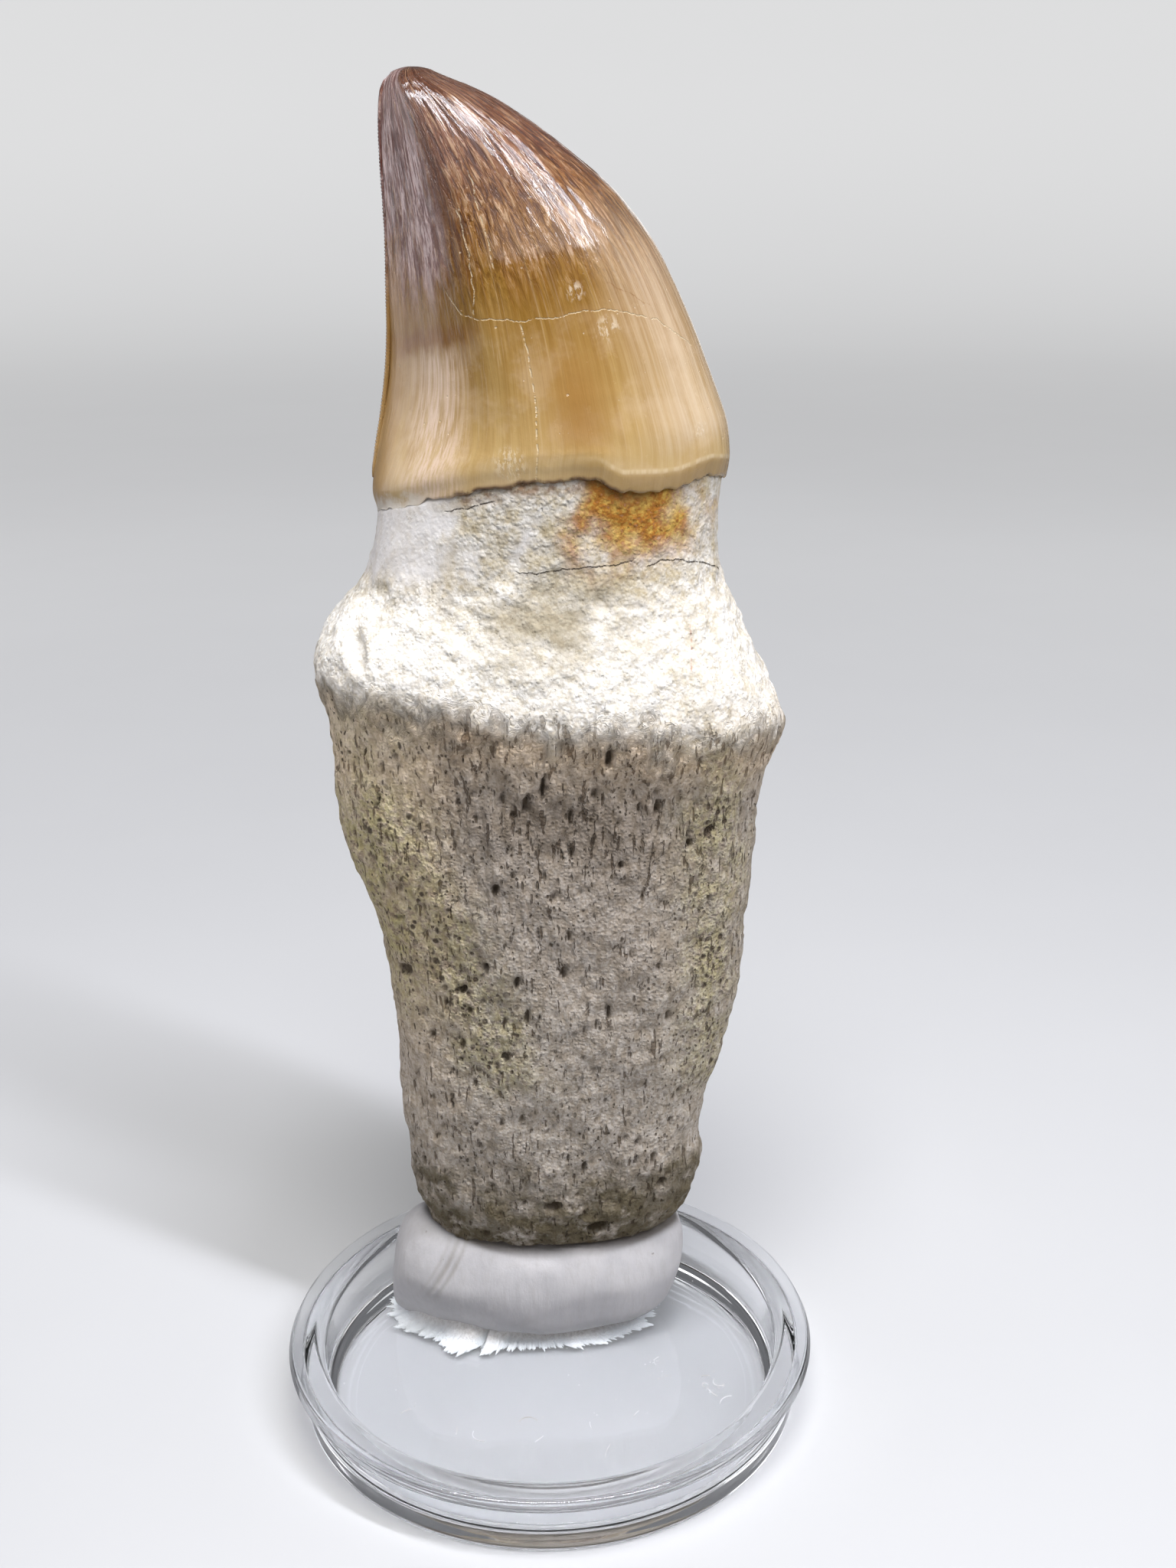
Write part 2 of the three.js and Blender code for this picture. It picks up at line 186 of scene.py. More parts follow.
def soft_noise(x, y, z, seed):
    """Smooth noise from -1 to 1: the lattice's numbers at a cell's eight corners, blended by
    6t^5 - 15t^4 + 10t^3."""
    cell = [np.floor(v).astype(np.int64) for v in (x, y, z)]
    part = [v - c for v, c in zip((x, y, z), cell)]
    fade = [t ** 3 * (t * (t * 6.0 - 15.0) + 10.0) for t in part]
    total = 0.0
    for di in (0, 1):
        for dj in (0, 1):
            for dk in (0, 1):
                weight = 1.0
                for step, t in zip((di, dj, dk), fade):
                    weight = weight * (t if step else 1.0 - t)
                total = total + weight * lattice(cell[0] + di, cell[1] + dj, cell[2] + dk, seed)
    return total * 2.0 - 1.0


def layered_noise(place, widths, layers, seed):
    """Noise summed over layers, each half as tall and half as wide as the last. A place is x, y and z, and
    the widths are the first layer's along each."""
    x, y, z = (v / width for v, width in zip(place, widths))
    total = 0.0
    for layer in range(layers):
        scale = 2.0 ** layer
        total = total + soft_noise(x * scale, y * scale, z * scale, seed + layer) / scale
    return total


def scattered(x, y, z, seed):
    """One point at a random place in each whole-number cell: the distance to the nearest point, and that
    point's own random number."""
    cell = [np.floor(v).astype(np.int64) for v in (x, y, z)]
    nearest = np.full(x.shape, 9.0)
    number = np.zeros(x.shape)
    for di in (-1, 0, 1):
        for dj in (-1, 0, 1):
            for dk in (-1, 0, 1):
                i, j, k = cell[0] + di, cell[1] + dj, cell[2] + dk
                dx = i + lattice(i, j, k, seed) - x
                dy = j + lattice(i, j, k, seed + 1) - y
                dz = k + lattice(i, j, k, seed + 2) - z
                distance = np.sqrt(dx * dx + dy * dy + dz * dz)
                closer = distance < nearest
                nearest = np.where(closer, distance, nearest)
                number = np.where(closer, lattice(i, j, k, seed + 3), number)
    return nearest, number


def station_at(rows, position):
    """Rows at fractional positions: each column follows a Catmull-Rom curve through the rows."""
    last = len(rows) - 1
    i = np.clip(np.floor(position).astype(int), 0, last - 1)
    t = (position - i)[:, None]
    b = rows[i]
    c = rows[i + 1]
    a = np.where(i[:, None] > 0, rows[np.maximum(i - 1, 0)], 2 * b - c)
    d = np.where(i[:, None] + 2 <= last, rows[np.minimum(i + 2, last)], 2 * c - b)
    return b + 0.5 * t * (c - a + t * (2 * a - 5 * b + 4 * c - d + t * (3 * (b - c) + d - a)))


def even_positions(rows, low, high, count, columns):
    """Positions that lie evenly along the path which the named columns of the rows draw."""
    fine = np.linspace(low, high, 4000)
    path = station_at(rows, fine)[:, columns]
    length = np.concatenate([[0.0], np.cumsum(np.linalg.norm(np.diff(path, axis=0), axis=1))])
    return np.interp(np.linspace(0.0, length[-1], count), length, fine)


def full_turn(count):
    """Angles that lie evenly round a full turn."""
    return np.linspace(0.0, 2.0 * np.pi, count, endpoint=False)[None, :]


def rounded_box(angle, squareness):
    """A rounded box's section: cos and sin to the power of 2 / squareness, with their signs."""
    c, s = np.cos(angle), np.sin(angle)
    power = 2.0 / squareness
    return np.sign(c) * np.abs(c) ** power, np.sign(s) * np.abs(s) ** power


def even_angles(count, width, reach, squareness, front_share):
    """Angles that lie evenly along a rounded box's outline, closer together by front_share on its front."""
    fine = np.linspace(0.0, 2.0 * np.pi, 8001)
    across, along = rounded_box(fine, squareness)
    step = np.hypot(np.diff(across) * width, np.diff(along) * reach)
    step = step * np.where(along[1:] < 0.0, front_share, 1.0)
    length = np.concatenate([[0.0], np.cumsum(step)])
    return np.interp(np.linspace(0.0, length[-1], count, endpoint=False), length, fine)


def margin_lift(across, along, on_front):
    """How far the enamel's margin is lifted: most on the faces, with a drop right of the front's middle."""
    dip = 1.3 * band(0.2, 0.4, 0.6, 0.9, across)
    return 2.9 * np.abs(along) ** 1.4 - np.where(on_front, dip, 0.0)


def shelf_lift(across, along):
    """How far the shelf's lip is lifted: more on the faces, to the right and at the far left."""
    left = 1.4 * (1.0 - smooth_step(-0.7, -0.35, across))
    return (1.2 + 1.8 * np.maximum(across, 0.0) + left) * np.abs(along) ** 1.3


def bone_swell(x, y, z):
    """Low swellings all over the bone: a wave about 11 mm long and a weaker one about 5 mm long."""
    long_wave = 0.16 * np.sin(0.55 * x + 0.31 * z + 1.3) * np.sin(0.47 * y - 0.23 * z)
    return long_wave + 0.09 * np.sin(1.1 * x - 0.7 * z) * np.sin(0.9 * y + 0.6 * z + 2.1)


def tooth_grid(position, angles, enamel):
    """Rings round the tooth, as in the solids. At an angle a rounded box gives across and along; x is the
    middle plus across times the half width, y the middle plane plus along times the reach, and z the
    slanted station's height with the margin's and the shelf's lift. On the crown along is cut by a
    slanting chord, which makes the flat face beside the serrated edge. Enamel is its thickness in mm."""
    rows = station_at(STATIONS, position)
    left_x, left_z, right_x, right_z, front, back, squareness = (column[:, None] for column in rows.T)
    across, along = rounded_box(angles[None, :], squareness)
    base_z = left_z + (right_z - left_z) * (across + 1.0) / 2.0
    facet = smooth_step(81.0, 99.0, base_z)
    chord = 0.07 + 1.62 * (across + 1.0)
    blend = 0.12 + 0.40 * (1.0 - smooth_step(94.0, 108.0, base_z))
    overlap = np.maximum(blend - np.abs(np.abs(along) - chord), 0.0) / blend
    cut = np.maximum(np.minimum(np.abs(along), chord) - overlap ** 2 * blend / 4.0, 0.0)
    along = np.sign(along) * (np.abs(along) * (1.0 - facet) + cut * facet)
    on_front = along < 0.0
    x = (left_x + right_x) / 2.0 + across * ((right_x - left_x) / 2.0 + enamel)
    y = TOOTH_Y + along * (np.where(on_front, front, back) + enamel)
    lift = bell(base_z, MARGIN_Z, 4.2) * margin_lift(across, along, on_front)
    z = base_z + lift + bell(base_z, 68.5, 6.0) * shelf_lift(across, along)
    swell = bone_swell(x, y, z) * band(12.0, 16.0, 80.0, 86.0, z)
    return x + swell * across, y + swell * along, z, across, along


def with_cap(grid, pole, rings, at_start):
    """Adds rings between a grid's first or last ring and a pole: each is the ring drawn in to the pole by a
    share s, with its height by s squared, so that the end is domed."""
    x, y, z = grid
    edge = 0 if at_start else -1
    share = np.linspace(0.0, 1.0, rings + 2)[1:-1][:, None]
    cap = [pole[0] + (x[edge] - pole[0]) * share, pole[1] + (y[edge] - pole[1]) * share,
           pole[2] + (z[edge] - pole[2]) * share ** 2]
    if at_start:
        return [np.vstack([c, g]) for c, g in zip(cap, grid)]
    return [np.vstack([g, c[::-1]]) for c, g in zip(cap, grid)]


def grid_normals(x, y, z):
    """Outward unit normals of closed rings: the step round the ring crossed with the step up the grid."""
    points = np.stack([x, y, z], axis=-1)
    round_step = np.roll(points, -1, axis=1) - np.roll(points, 1, axis=1)
    up_step = np.gradient(points, axis=0)
    normal = np.cross(round_step, up_step)
    return normal / (np.linalg.norm(normal, axis=-1, keepdims=True) + 1e-9)


def pushed_out(x, y, z, relief):
    """The grid moved along its normals by a relief in mm."""
    normal = grid_normals(x, y, z)
    return x + normal[..., 0] * relief, y + normal[..., 1] * relief, z + normal[..., 2] * relief


def mesh_object(name, points, faces, attributes=None, smooth=True):
    """An object from points in mm and faces of three or four corners, with named numbers on its points."""
    mesh = bpy.data.meshes.new(name)
    points = np.asarray(points, dtype=np.float64) * MM
    loops = np.concatenate([np.asarray(group).ravel() for group in faces])
    sizes = np.concatenate([np.full(len(group), group.shape[1]) for group in faces])
    starts = np.concatenate([[0], np.cumsum(sizes)[:-1]])
    mesh.vertices.add(len(points))
    mesh.vertices.foreach_set("co", points.astype(np.float32).ravel())
    mesh.loops.add(len(loops))
    mesh.loops.foreach_set("vertex_index", loops.astype(np.int32))
    mesh.polygons.add(len(sizes))
    mesh.polygons.foreach_set("loop_start", starts.astype(np.int32))
    mesh.polygons.foreach_set("loop_total", sizes.astype(np.int32))
    mesh.polygons.foreach_set("use_smooth", np.full(len(sizes), smooth))
    mesh.update(calc_edges=True)
    for key, values in (attributes or {}).items():
        if values.ndim == 2:
            layer = mesh.attributes.new(key, "FLOAT_VECTOR", "POINT")
            layer.data.foreach_set("vector", values.astype(np.float32).ravel())
        else:
            layer = mesh.attributes.new(key, "FLOAT", "POINT")
            layer.data.foreach_set("value", values.astype(np.float32))
    mesh.validate()
    piece = bpy.data.objects.new(name, mesh)
    bpy.context.scene.collection.objects.link(piece)
    return piece


def ring_faces(rings, columns, first):
    """Quads between neighbouring rings that run anticlockwise seen from above, from the lowest one up."""
    i, j = np.meshgrid(np.arange(rings - 1), np.arange(columns), indexing="ij")
    here = first + i * columns + j
    beside = first + i * columns + (j + 1) % columns
    return np.stack([here, beside, beside + columns, here + columns], axis=-1).reshape(-1, 4)


def closed_grid(name, grid, bottom, top, attributes=None):
    """A closed piece from rings, with a point at each end. Attributes are arrays of the grid's shape."""
    x, y, z = grid
    rings, columns = x.shape
    points = np.vstack([[bottom], np.stack([x, y, z], axis=-1).reshape(-1, 3), [top]])
    j = np.arange(columns)
    beside = (j + 1) % columns
    last_ring = 1 + (rings - 1) * columns
    low_fan = np.stack([np.zeros(columns, int), 1 + beside, 1 + j], axis=-1)
    high_fan = np.stack([last_ring + j, last_ring + beside, np.full(columns, len(points) - 1)], axis=-1)
    values = {}
    for key, array in (attributes or {}).items():
        flat = array.reshape(rings * columns, -1)
        ends = [flat[:columns].mean(0, keepdims=True), flat[-columns:].mean(0, keepdims=True)]
        flat = np.vstack([ends[0], flat, ends[1]])
        values[key] = flat if flat.shape[1] > 1 else flat[:, 0]
    return mesh_object(name, points, [ring_faces(rings, columns, 1), low_fan, high_fan], values)


def over_shelf(x, z):
    """The height that a point has when it is moved along the shelf's slant to x 0."""
    return z + SHELF_SLANT * x


def from_streak(x, z):
    """How far right of the spongy streak a point is. The streak slants down to the right from its top."""
    top_x, top_z, slant = -12.0, 57.0, 0.357
    return x - top_x - slant * (top_z - z)


def named_pores(x, y, z):
    """The named pores: each is 1 in its middle and falls to 0 at the edge of its ellipse, on the front. Gives
    the deepest depth in mm and how much of a pore each point is."""
    depth = np.zeros(x.shape)
    pore = np.zeros(x.shape)
    bent_x = x + 0.22 * soft_noise(x / 0.8, y / 0.8, z / 0.9, 25)
    bent_z = z + 0.3 * soft_noise(x / 0.7, y / 0.7, z / 0.8, 27)
    for px, pz, width, height, deep in PORES:
        off = np.hypot((bent_x - px) / (width / 2.0), (bent_z - pz) / (height / 2.0))
        mask = (1.0 - smooth_step(0.45, 1.0, off)) * (y < TOOTH_Y)
        depth = np.maximum(depth, deep * mask)
        pore = np.maximum(pore, mask)
    return depth, pore


def scattered_pores(x, y, z, width, height, share, size, seed):
    """Pores at random places, one in a share of the cells of that width and height, a little bent."""
    bend = 0.22 * soft_noise(x / 0.7, y / 0.7, z / 0.8, seed + 7)
    distance, number = scattered((x + bend) / width, (y - bend) / width, (z + bend) / height, seed)
    radius = size * (0.45 + 0.55 * (number / share))
    return np.where(number < share, 1.0 - smooth_step(0.3, 1.0, distance / radius), 0.0)


def bone_relief(x, y, z):
    """The bone's relief in mm: lumps, grain, long upright grooves under the shelf and pores. Also gives how
    much of a pore each point is."""
    place = (x, y, z)
    under = 1.0 - smooth_step(63.0, 68.0, over_shelf(x, z))
    low_end = 1.0 - smooth_step(18.0, 30.0, z)
    lumps = 0.11 * layered_noise(place, (4.2, 4.2, 5.5), 3, 3)
    lumps = lumps + 0.07 * layered_noise(place, (1.7, 1.7, 1.9), 2, 5)
    grain = (0.11 + 0.05 * low_end) * layered_noise(place, (0.9, 0.9, 1.1), 2, 9)
    strands = soft_noise(x / 0.85, y / 0.85, z / 6.5, 15) + 0.6 * soft_noise(x / 0.5, y / 0.5, z / 4.0, 17)
    grooves = 0.13 * strands * under * (1.0 - low_end) * (0.45 + 1.15 * bell(z, 63.0, 6.0))
    depth, pore = named_pores(x, y, z)
    wide = layered_noise(place, (9.0, 9.0, 11.0), 2, 21)
    share = 0.36 + 0.30 * wide + 0.2 * smooth_step(-6.0, -14.0, x) + 0.35 * bell(z, 62.0, 6.0)
    share = np.clip(share, 0.1, 0.85)
    long_pores = under * scattered_pores(x, y, z, 1.1, 3.0, share, 0.34, 31)
    eaten = bell(from_streak(x, z), 0.0, 3.6) * bell(z, 46.0, 13.0)
    round_pores = scattered_pores(x, y, z, 1.0, 1.2, 0.35 + 0.3 * low_end + 0.4 * eaten, 0.36, 41)
    round_pores = round_pores * (0.35 + 0.65 * np.maximum(np.maximum(low_end, eaten), under * 0.6))
    lip_wave = over_shelf(x, z) + 0.5 * soft_noise(x / 3.0, 0.0 * x, 0.0 * x, 57)
    lip = 0.07 * bell(lip_wave, 70.4, 1.8) - 0.05 * bell(lip_wave, 64.8, 2.3)
    lip = lip * (y < TOOTH_Y) * band(-19.0, -11.0, 15.0, 20.0, x)
    relief = lumps + grain + grooves + lip - 0.42 * long_pores - 0.28 * round_pores - depth
    return relief, np.maximum(pore, np.maximum(long_pores, 0.8 * round_pores))


def shelf_relief(x, y, z):
    """Relief of the shelf alone, in mm: small pits over its slope, and the broken notch at its left end."""
    slope = smooth_step(64.0, 68.0, over_shelf(x, z)) * (1.0 - smooth_step(79.0, 83.0, z))
    hollows = scattered_pores(x, y, z, 0.9, 0.9, 0.35, 0.42, 51) * slope
    off = np.hypot((x + 15.4) / 0.75 + (z - 74.9) * 0.12, (z - 74.9) / 1.5)
    notch = (1.0 - smooth_step(0.5, 1.3, off)) * (y < TOOTH_Y)
    grain = 0.12 * layered_noise((x, y, z), (1.3, 1.3, 1.3), 2, 55) * slope
    return grain - 0.16 * hollows - 0.75 * notch, 0.3 * hollows + 0.5 * notch


def bone_colour_zones(x, y, z):
    """Where the bone is stained, and where light and shade are painted on it, from 0 to 1: white on the shelf
    and the neck, yellow at both sides of the root, orange under the enamel, brown at the root's end, smooth
    on the left of the neck and in one scrape, beige in the shelf's middle, bright with painted light on the
    rest of its slope, shaded with painted shade below its lip, paler and warmer with painted light on the
    ledge between and down the root's left side, and spongy along a slanting streak at the root's left and an
    upright one at its right."""
    ragged = layered_noise((x, y, z), (2.6, 2.6, 2.6), 3, 61)
    tatters = layered_noise((x, y, z), (1.1, 1.1, 1.4), 2, 67)
    front = y < TOOTH_Y
    height = over_shelf(x, z)
    white = smooth_step(66.2, 70.6, height + 0.9 * ragged + 1.7 * tatters)
    left = smooth_step(-8.0, -13.0, x + 2.0 * ragged) * smooth_step(34.0, 46.0, z)
    left = left * (1.0 - 0.6 * smooth_step(58.0, 65.0, z))
    right = bell(x, 15.5, 3.2) * smooth_step(24.0, 36.0, z) * 0.55
    yellow = np.clip((left + right) * (0.85 + 0.6 * ragged), 0.0, 1.0) * (1.0 - white)
    # Painted shade: a darker band on the root's front below the shelf's lip, where the lip's shadow falls
    shaded = bell(height, 60.0, 4.5) * bell(x, 3.0, 11.0) * front * (1.0 - white)
    # Painted light: the ledge under the lip and the root's left side are made paler and warmer to stand in
    # for light falling there
    left_side = smooth_step(-5.0, -11.0, x) * np.maximum(0.65 * bell(z, 50.0, 20.0), bell(z, 64.0, 7.0))
    ledge = np.maximum(bell(height, 67.4, 3.4), left_side) * front
    in_box = smooth_step(1.6, 5.4, x + 1.8 * ragged) * (1.0 - smooth_step(11.6, 15.2, x + 1.6 * ragged))
    orange = in_box * smooth_step(80.8, 85.4, z + 1.4 * ragged) * front
    behind = bell(x, -3.0, 6.0) * smooth_step(82.5, 85.5, z + ragged) * (1.0 - front) * 0.7
    brown = 1.0 - smooth_step(16.0, 26.0, z + 4.0 * ragged)
    smooth = smooth_step(-4.0, -11.0, x + 2.6 * ragged) * smooth_step(79.0, 82.0, z + ragged)
    scrape = bell(x - 0.5 * (z - 85.2), -0.6, 0.55) * bell(z, 84.2, 1.6)
    beige = np.clip(bell(x, 1.0, 6.8) * bell(z, 78.4, 4.6) * (0.8 + 0.6 * ragged) * front, 0.0, 1.0)
    streak = bell(from_streak(x, z), 0.0, 3.4) * smooth_step(29.0, 36.0, z)
    spongy = np.maximum(streak, 0.8 * bell(x, 15.3, 1.7)) * band(26.0, 34.0, 59.0, 65.0, z) * front
    spongy = np.clip(spongy * (1.3 + 1.1 * ragged), 0.0, 1.0)
    # Painted light: the shelf's slope is whitened where it faces the light from above, less so at the right
    bright = smooth_step(67.0, 69.5, height) * (1.0 - smooth_step(76.5, 81.0, z + 1.5 * ragged))
    bright = bright * (1.0 - beige) * (1.0 - 0.50 * smooth_step(4.0, 12.0, x))
    return {"white": white, "yellow": yellow, "orange": np.maximum(orange, behind), "brown": brown,
            "smooth": np.maximum(smooth, 0.8 * scrape) * front, "beige": beige, "bright": bright,
            "shaded": shaded, "ledge": ledge, "spongy": spongy}


def carried_up(zones, rings):
    """Each zone's last ring repeated over the rings of a cap above it."""
    return {key: np.concatenate([values, np.repeat(values[-1:], rings, axis=0)])
            for key, values in zones.items()}


def make_root():
    """The bony root, shelf and neck up to under the enamel: rings with relief, domed at the lower end and
    closed inside the crown."""
    end_rings, top_rings = 12, 3
    top = (1.0, TOOTH_Y, 90.5)
    angles = even_angles(344, 18.0, 11.5, 2.45, 1.5)
    position = even_positions(STATIONS, 0.0, MARGIN + 0.25, 266, [2, 3, 4])
    x, y, z, across, along = tooth_grid(position, angles, 0.0)
    tuck = 0.35 * smooth_step(MARGIN - 0.05, MARGIN + 0.2, position)[:, None]
    x, y = x - tuck * across, y - tuck * along
    grid = with_cap((x, y, z), ROOT_END, end_rings, True)
    relief, pore = bone_relief(*grid)
    shelf, shelf_pore = shelf_relief(*grid)
    fade = smooth_step(12.0, 13.5, grid[2]) * (1.0 - 0.7 * smooth_step(84.0, 88.0, grid[2]))
    zones = bone_colour_zones(*grid)
    rim = smooth_step(MARGIN - 0.50, MARGIN - 0.12, position)[:, None] * smooth_step(-8.0, -5.0, x)
    rim = rim * (1.0 - smooth_step(7.5, 11.0, x))
    zones["rim"] = np.vstack([np.zeros((end_rings, x.shape[1])), rim])
    calm = 1.0 - 0.6 * zones["smooth"] - 0.15 * smooth_step(79.0, 83.0, grid[2])
    grid = pushed_out(*grid, (relief + shelf) * fade * calm)
    zones["pore"] = np.clip(np.maximum(pore, shelf_pore), 0.0, 1.0) * fade * calm
    return closed_grid("root_bone", with_cap(grid, top, top_rings, False), ROOT_END, top,
                       carried_up(zones, top_rings))


def crown_rise(rows):
    """How far up the crown a station is, from 0 at its foot to 1 at its tip, at its left edge."""
    return (rows[:, [1]] - CROWN_FOOT) / CROWN_RISE


def crown_relief(across, along, rise, above):
    """The enamel's relief in mm: broad flutes, fine ridges that grow stronger towards the tip, faint growth
    bands, a groove above the margin on the right and its rolled lip."""
    flutes = 0.07 * soft_noise(across * 3.5, along * 3.5, rise * 2.5, 71)
    ridges = layered_noise((across, along, rise), (1.0 / 14.0, 1.0 / 14.0, 1.0 / 11.0), 2, 73)
    ridges = 0.040 * ridges * (0.25 + 0.75 * smooth_step(0.3, 0.6, rise))
    ridges = ridges * (1.0 - smooth_step(0.9, 1.0, rise))
    bands = 0.012 * soft_noise(rise * 34.0, across * 0.7, along * 0.7, 75)
    right = smooth_step(0.1, 0.45, across) * (along < 0.3)
    groove = -0.10 * bell(above, 3.2, 1.3) * right
    lip = 0.10 * bell(above, 0.9, 1.1) * right
    return flutes + ridges + bands + groove + lip


def make_crown():
    """The enamel crown: rings from a lip that turns in over the bone, up to the worn tip."""
    squareness = 2.1
    edge_ring, tip_rings = 2, 5
    angles = even_angles(312, 14.0, 10.0, squareness, 1.35)
    lip = MARGIN + np.array([0.30, 0.06, 0.0, 0.005, 0.02, 0.05, 0.09])
    lip_enamel = np.array([-0.9, -0.5, -0.15, 0.08, 0.18, 0.23, ENAMEL])
    body = even_positions(STATIONS, MARGIN + 0.13, LAST, 296, [2, 3, 4])
    position = np.concatenate([lip, body])
    left = 1.0 - smooth_step(-0.75, -0.35, rounded_box(angles, squareness)[0])
    thin = 0.75 * left[None, :] * bell(position, MARGIN, 0.6)[:, None]
    enamel = np.concatenate([lip_enamel, np.full(len(body), ENAMEL)])[:, None] * (1.0 - thin)
    x, y, z, across, along = tooth_grid(position, angles, enamel)
    rise = np.broadcast_to(crown_rise(station_at(STATIONS, position)), x.shape)
    above = np.maximum(z - z[edge_ring], 0.0)
    ragged = 0.22 * layered_noise((x, y, 0.0 * x), (1.1, 1.1, 1.0), 2, 77) * bell(above, 0.0, 1.6)
    relief = crown_relief(across, along, rise, above) * smooth_step(MARGIN, MARGIN + 0.03, position)[:, None]
    x, y, z = pushed_out(x, y, z + ragged, relief)
    tip_wear = 0.05 * layered_noise((x, y, z), (0.5, 0.5, 0.5), 2, 79) * smooth_step(0.93, 1.0, rise)
    grid = with_cap(pushed_out(x, y, z, tip_wear), CROWN_TIP, tip_rings, False)
    face_edge = across + 0.05 * soft_noise(across * 6.0, along * 6.0, rise * 9.0, 78)
    zones = {"rise": rise, "above": above, "flat_face": 1.0 - smooth_step(-0.60, -0.46, face_edge),
             "lengthwise": np.stack([across, along, rise], axis=-1)}
    return closed_grid("enamel_crown", grid, (1.0, TOOTH_Y, 90.0), CROWN_TIP, carried_up(zones, tip_rings))


def make_serrated_edge():
    """The cutting edge down the crown's left side: an oval ridge half sunk in the enamel along the left
    edge, its height raised and lowered by denticles."""
    denticle_step = 0.28
    position = even_positions(STATIONS, MARGIN + 1.3, LAST - 0.7, 640, [0, 1])
    rows = station_at(STATIONS, position)
    path_x, path_z = rows[:, 0] - ENAMEL, rows[:, 1]
    step = np.hypot(np.gradient(path_x), np.gradient(path_z))
    length = np.cumsum(step)
    out_x, out_z = -np.gradient(path_z) / step, np.gradient(path_x) / step
    share = length / length[-1]
    toothed = band(0.02, 0.12, 0.80, 0.95, share)
    wear = 0.65 + 0.35 * soft_noise(length / 1.3, 0 * length, 0 * length, 81)
    denticle = np.abs(np.sin(np.pi * length / denticle_step)) ** 0.6
    ends = np.sqrt(np.clip(np.minimum(share / 0.03, (1.0 - share) / 0.03), 0.0, 1.0))
    height = (0.20 + 0.12 * toothed * wear * (denticle - 0.4)) * ends + 0.01
    angle = full_turn(12)
    up = height[:, None] * np.cos(angle)
    x = path_x[:, None] + out_x[:, None] * up
    z = path_z[:, None] + out_z[:, None] * up
    y = TOOTH_Y - 0.34 * ends[:, None] * np.sin(angle)
    rise = np.broadcast_to(crown_rise(rows), x.shape)
    zones = {"rise": rise, "above": 5.0 + 0 * x, "flat_face": 1.0 + 0 * x,
             "lengthwise": np.stack([-1.0 + 0 * x, y * 0.1, rise], axis=-1)}
    low = (path_x[0], TOOTH_Y, path_z[0] - 0.02)
    high = (path_x[-1], TOOTH_Y, path_z[-1] + 0.02)
    return closed_grid("serrated_edge", (x, y, z), low, high, zones)


def make_putty():
    """The rolled putty lump: level rounded-box rings between the stations, drawn back at the front's lower
    left, with soft dents, two thumb marks and folds where it was pressed against the root. It also carries
    where shade is painted in the folds and where a shadow is painted in the gap under the root."""
    squareness = 2.5
    crest_rings = 8
    angles = even_angles(300, 14.0, 7.5, squareness, 1.4)
    position = even_positions(PUTTY_STATIONS, 0.0, len(PUTTY_STATIONS) - 1, 120, [0, 1, 3])
    z, left, right, near, far = (column[:, None] for column in station_at(PUTTY_STATIONS, position).T)
    across, along = rounded_box(angles[None, :], squareness)
    x = (left + right) / 2.0 + across * (right - left) / 2.0
    y = (near + far) / 2.0 + along * (far - near) / 2.0
    z = z + 0 * x
    x, y, z = with_cap((x, y, z), PUTTY_CREST, crest_rings, False)
    low_front = (1.0 - smooth_step(2.5, 9.0, z)) * (1.0 - smooth_step(5.0, 10.0, y))
    y = y + 0.18 * np.maximum(-1.0 - x, 0.0) * low_front
    dents = 0.30 * layered_noise((x, y, z), (6.0, 6.0, 5.0), 2, 83)
    pull = 0.035 * soft_noise(x / 0.7, y / 0.7, z / 5.0, 85) * smooth_step(2.0, 5.0, z)
    thumb = 0.45 * bell(x, 1.8, 3.2) * bell(z, 5.2, 1.9) + 0.35 * bell(x, -7.5, 3.0) * bell(z, 4.6, 1.8)
    fold_line = x + 11.2 - 0.55 * (z - 9.0)
    folds = 0.24 * bell(fold_line, 0.0, 0.26) + 0.20 * bell(fold_line, 0.85, 0.20)
    folds = (folds + 0.13 * bell(fold_line, -0.8, 0.18)) * bell(z, 10.6, 2.8)
    front = y < TOOTH_Y
    relief = (dents + pull - (thumb + folds) * front) * smooth_step(1.0, 2.4, z)
    grid = pushed_out(x, y, z, relief)
    # Painted shade in the folds
    shade = np.clip(folds * front * 4.0, 0.0, 1.0)
    # Painted shadow: a dark band on the putty's top round the root, where the root shades the gap
    from_root = np.hypot((x - 0.4) / 12.4, (y - TOOTH_Y) / 6.0)
    contact_shadow = (1.0 - smooth_step(1.01, 1.06, from_root)) * smooth_step(11.5, 13.0, z)
    return closed_grid("putty_lump", grid, (-2.6, 9.0, 1.02), PUTTY_CREST, {"fold_shade": shade, "contact_shadow": contact_shadow})


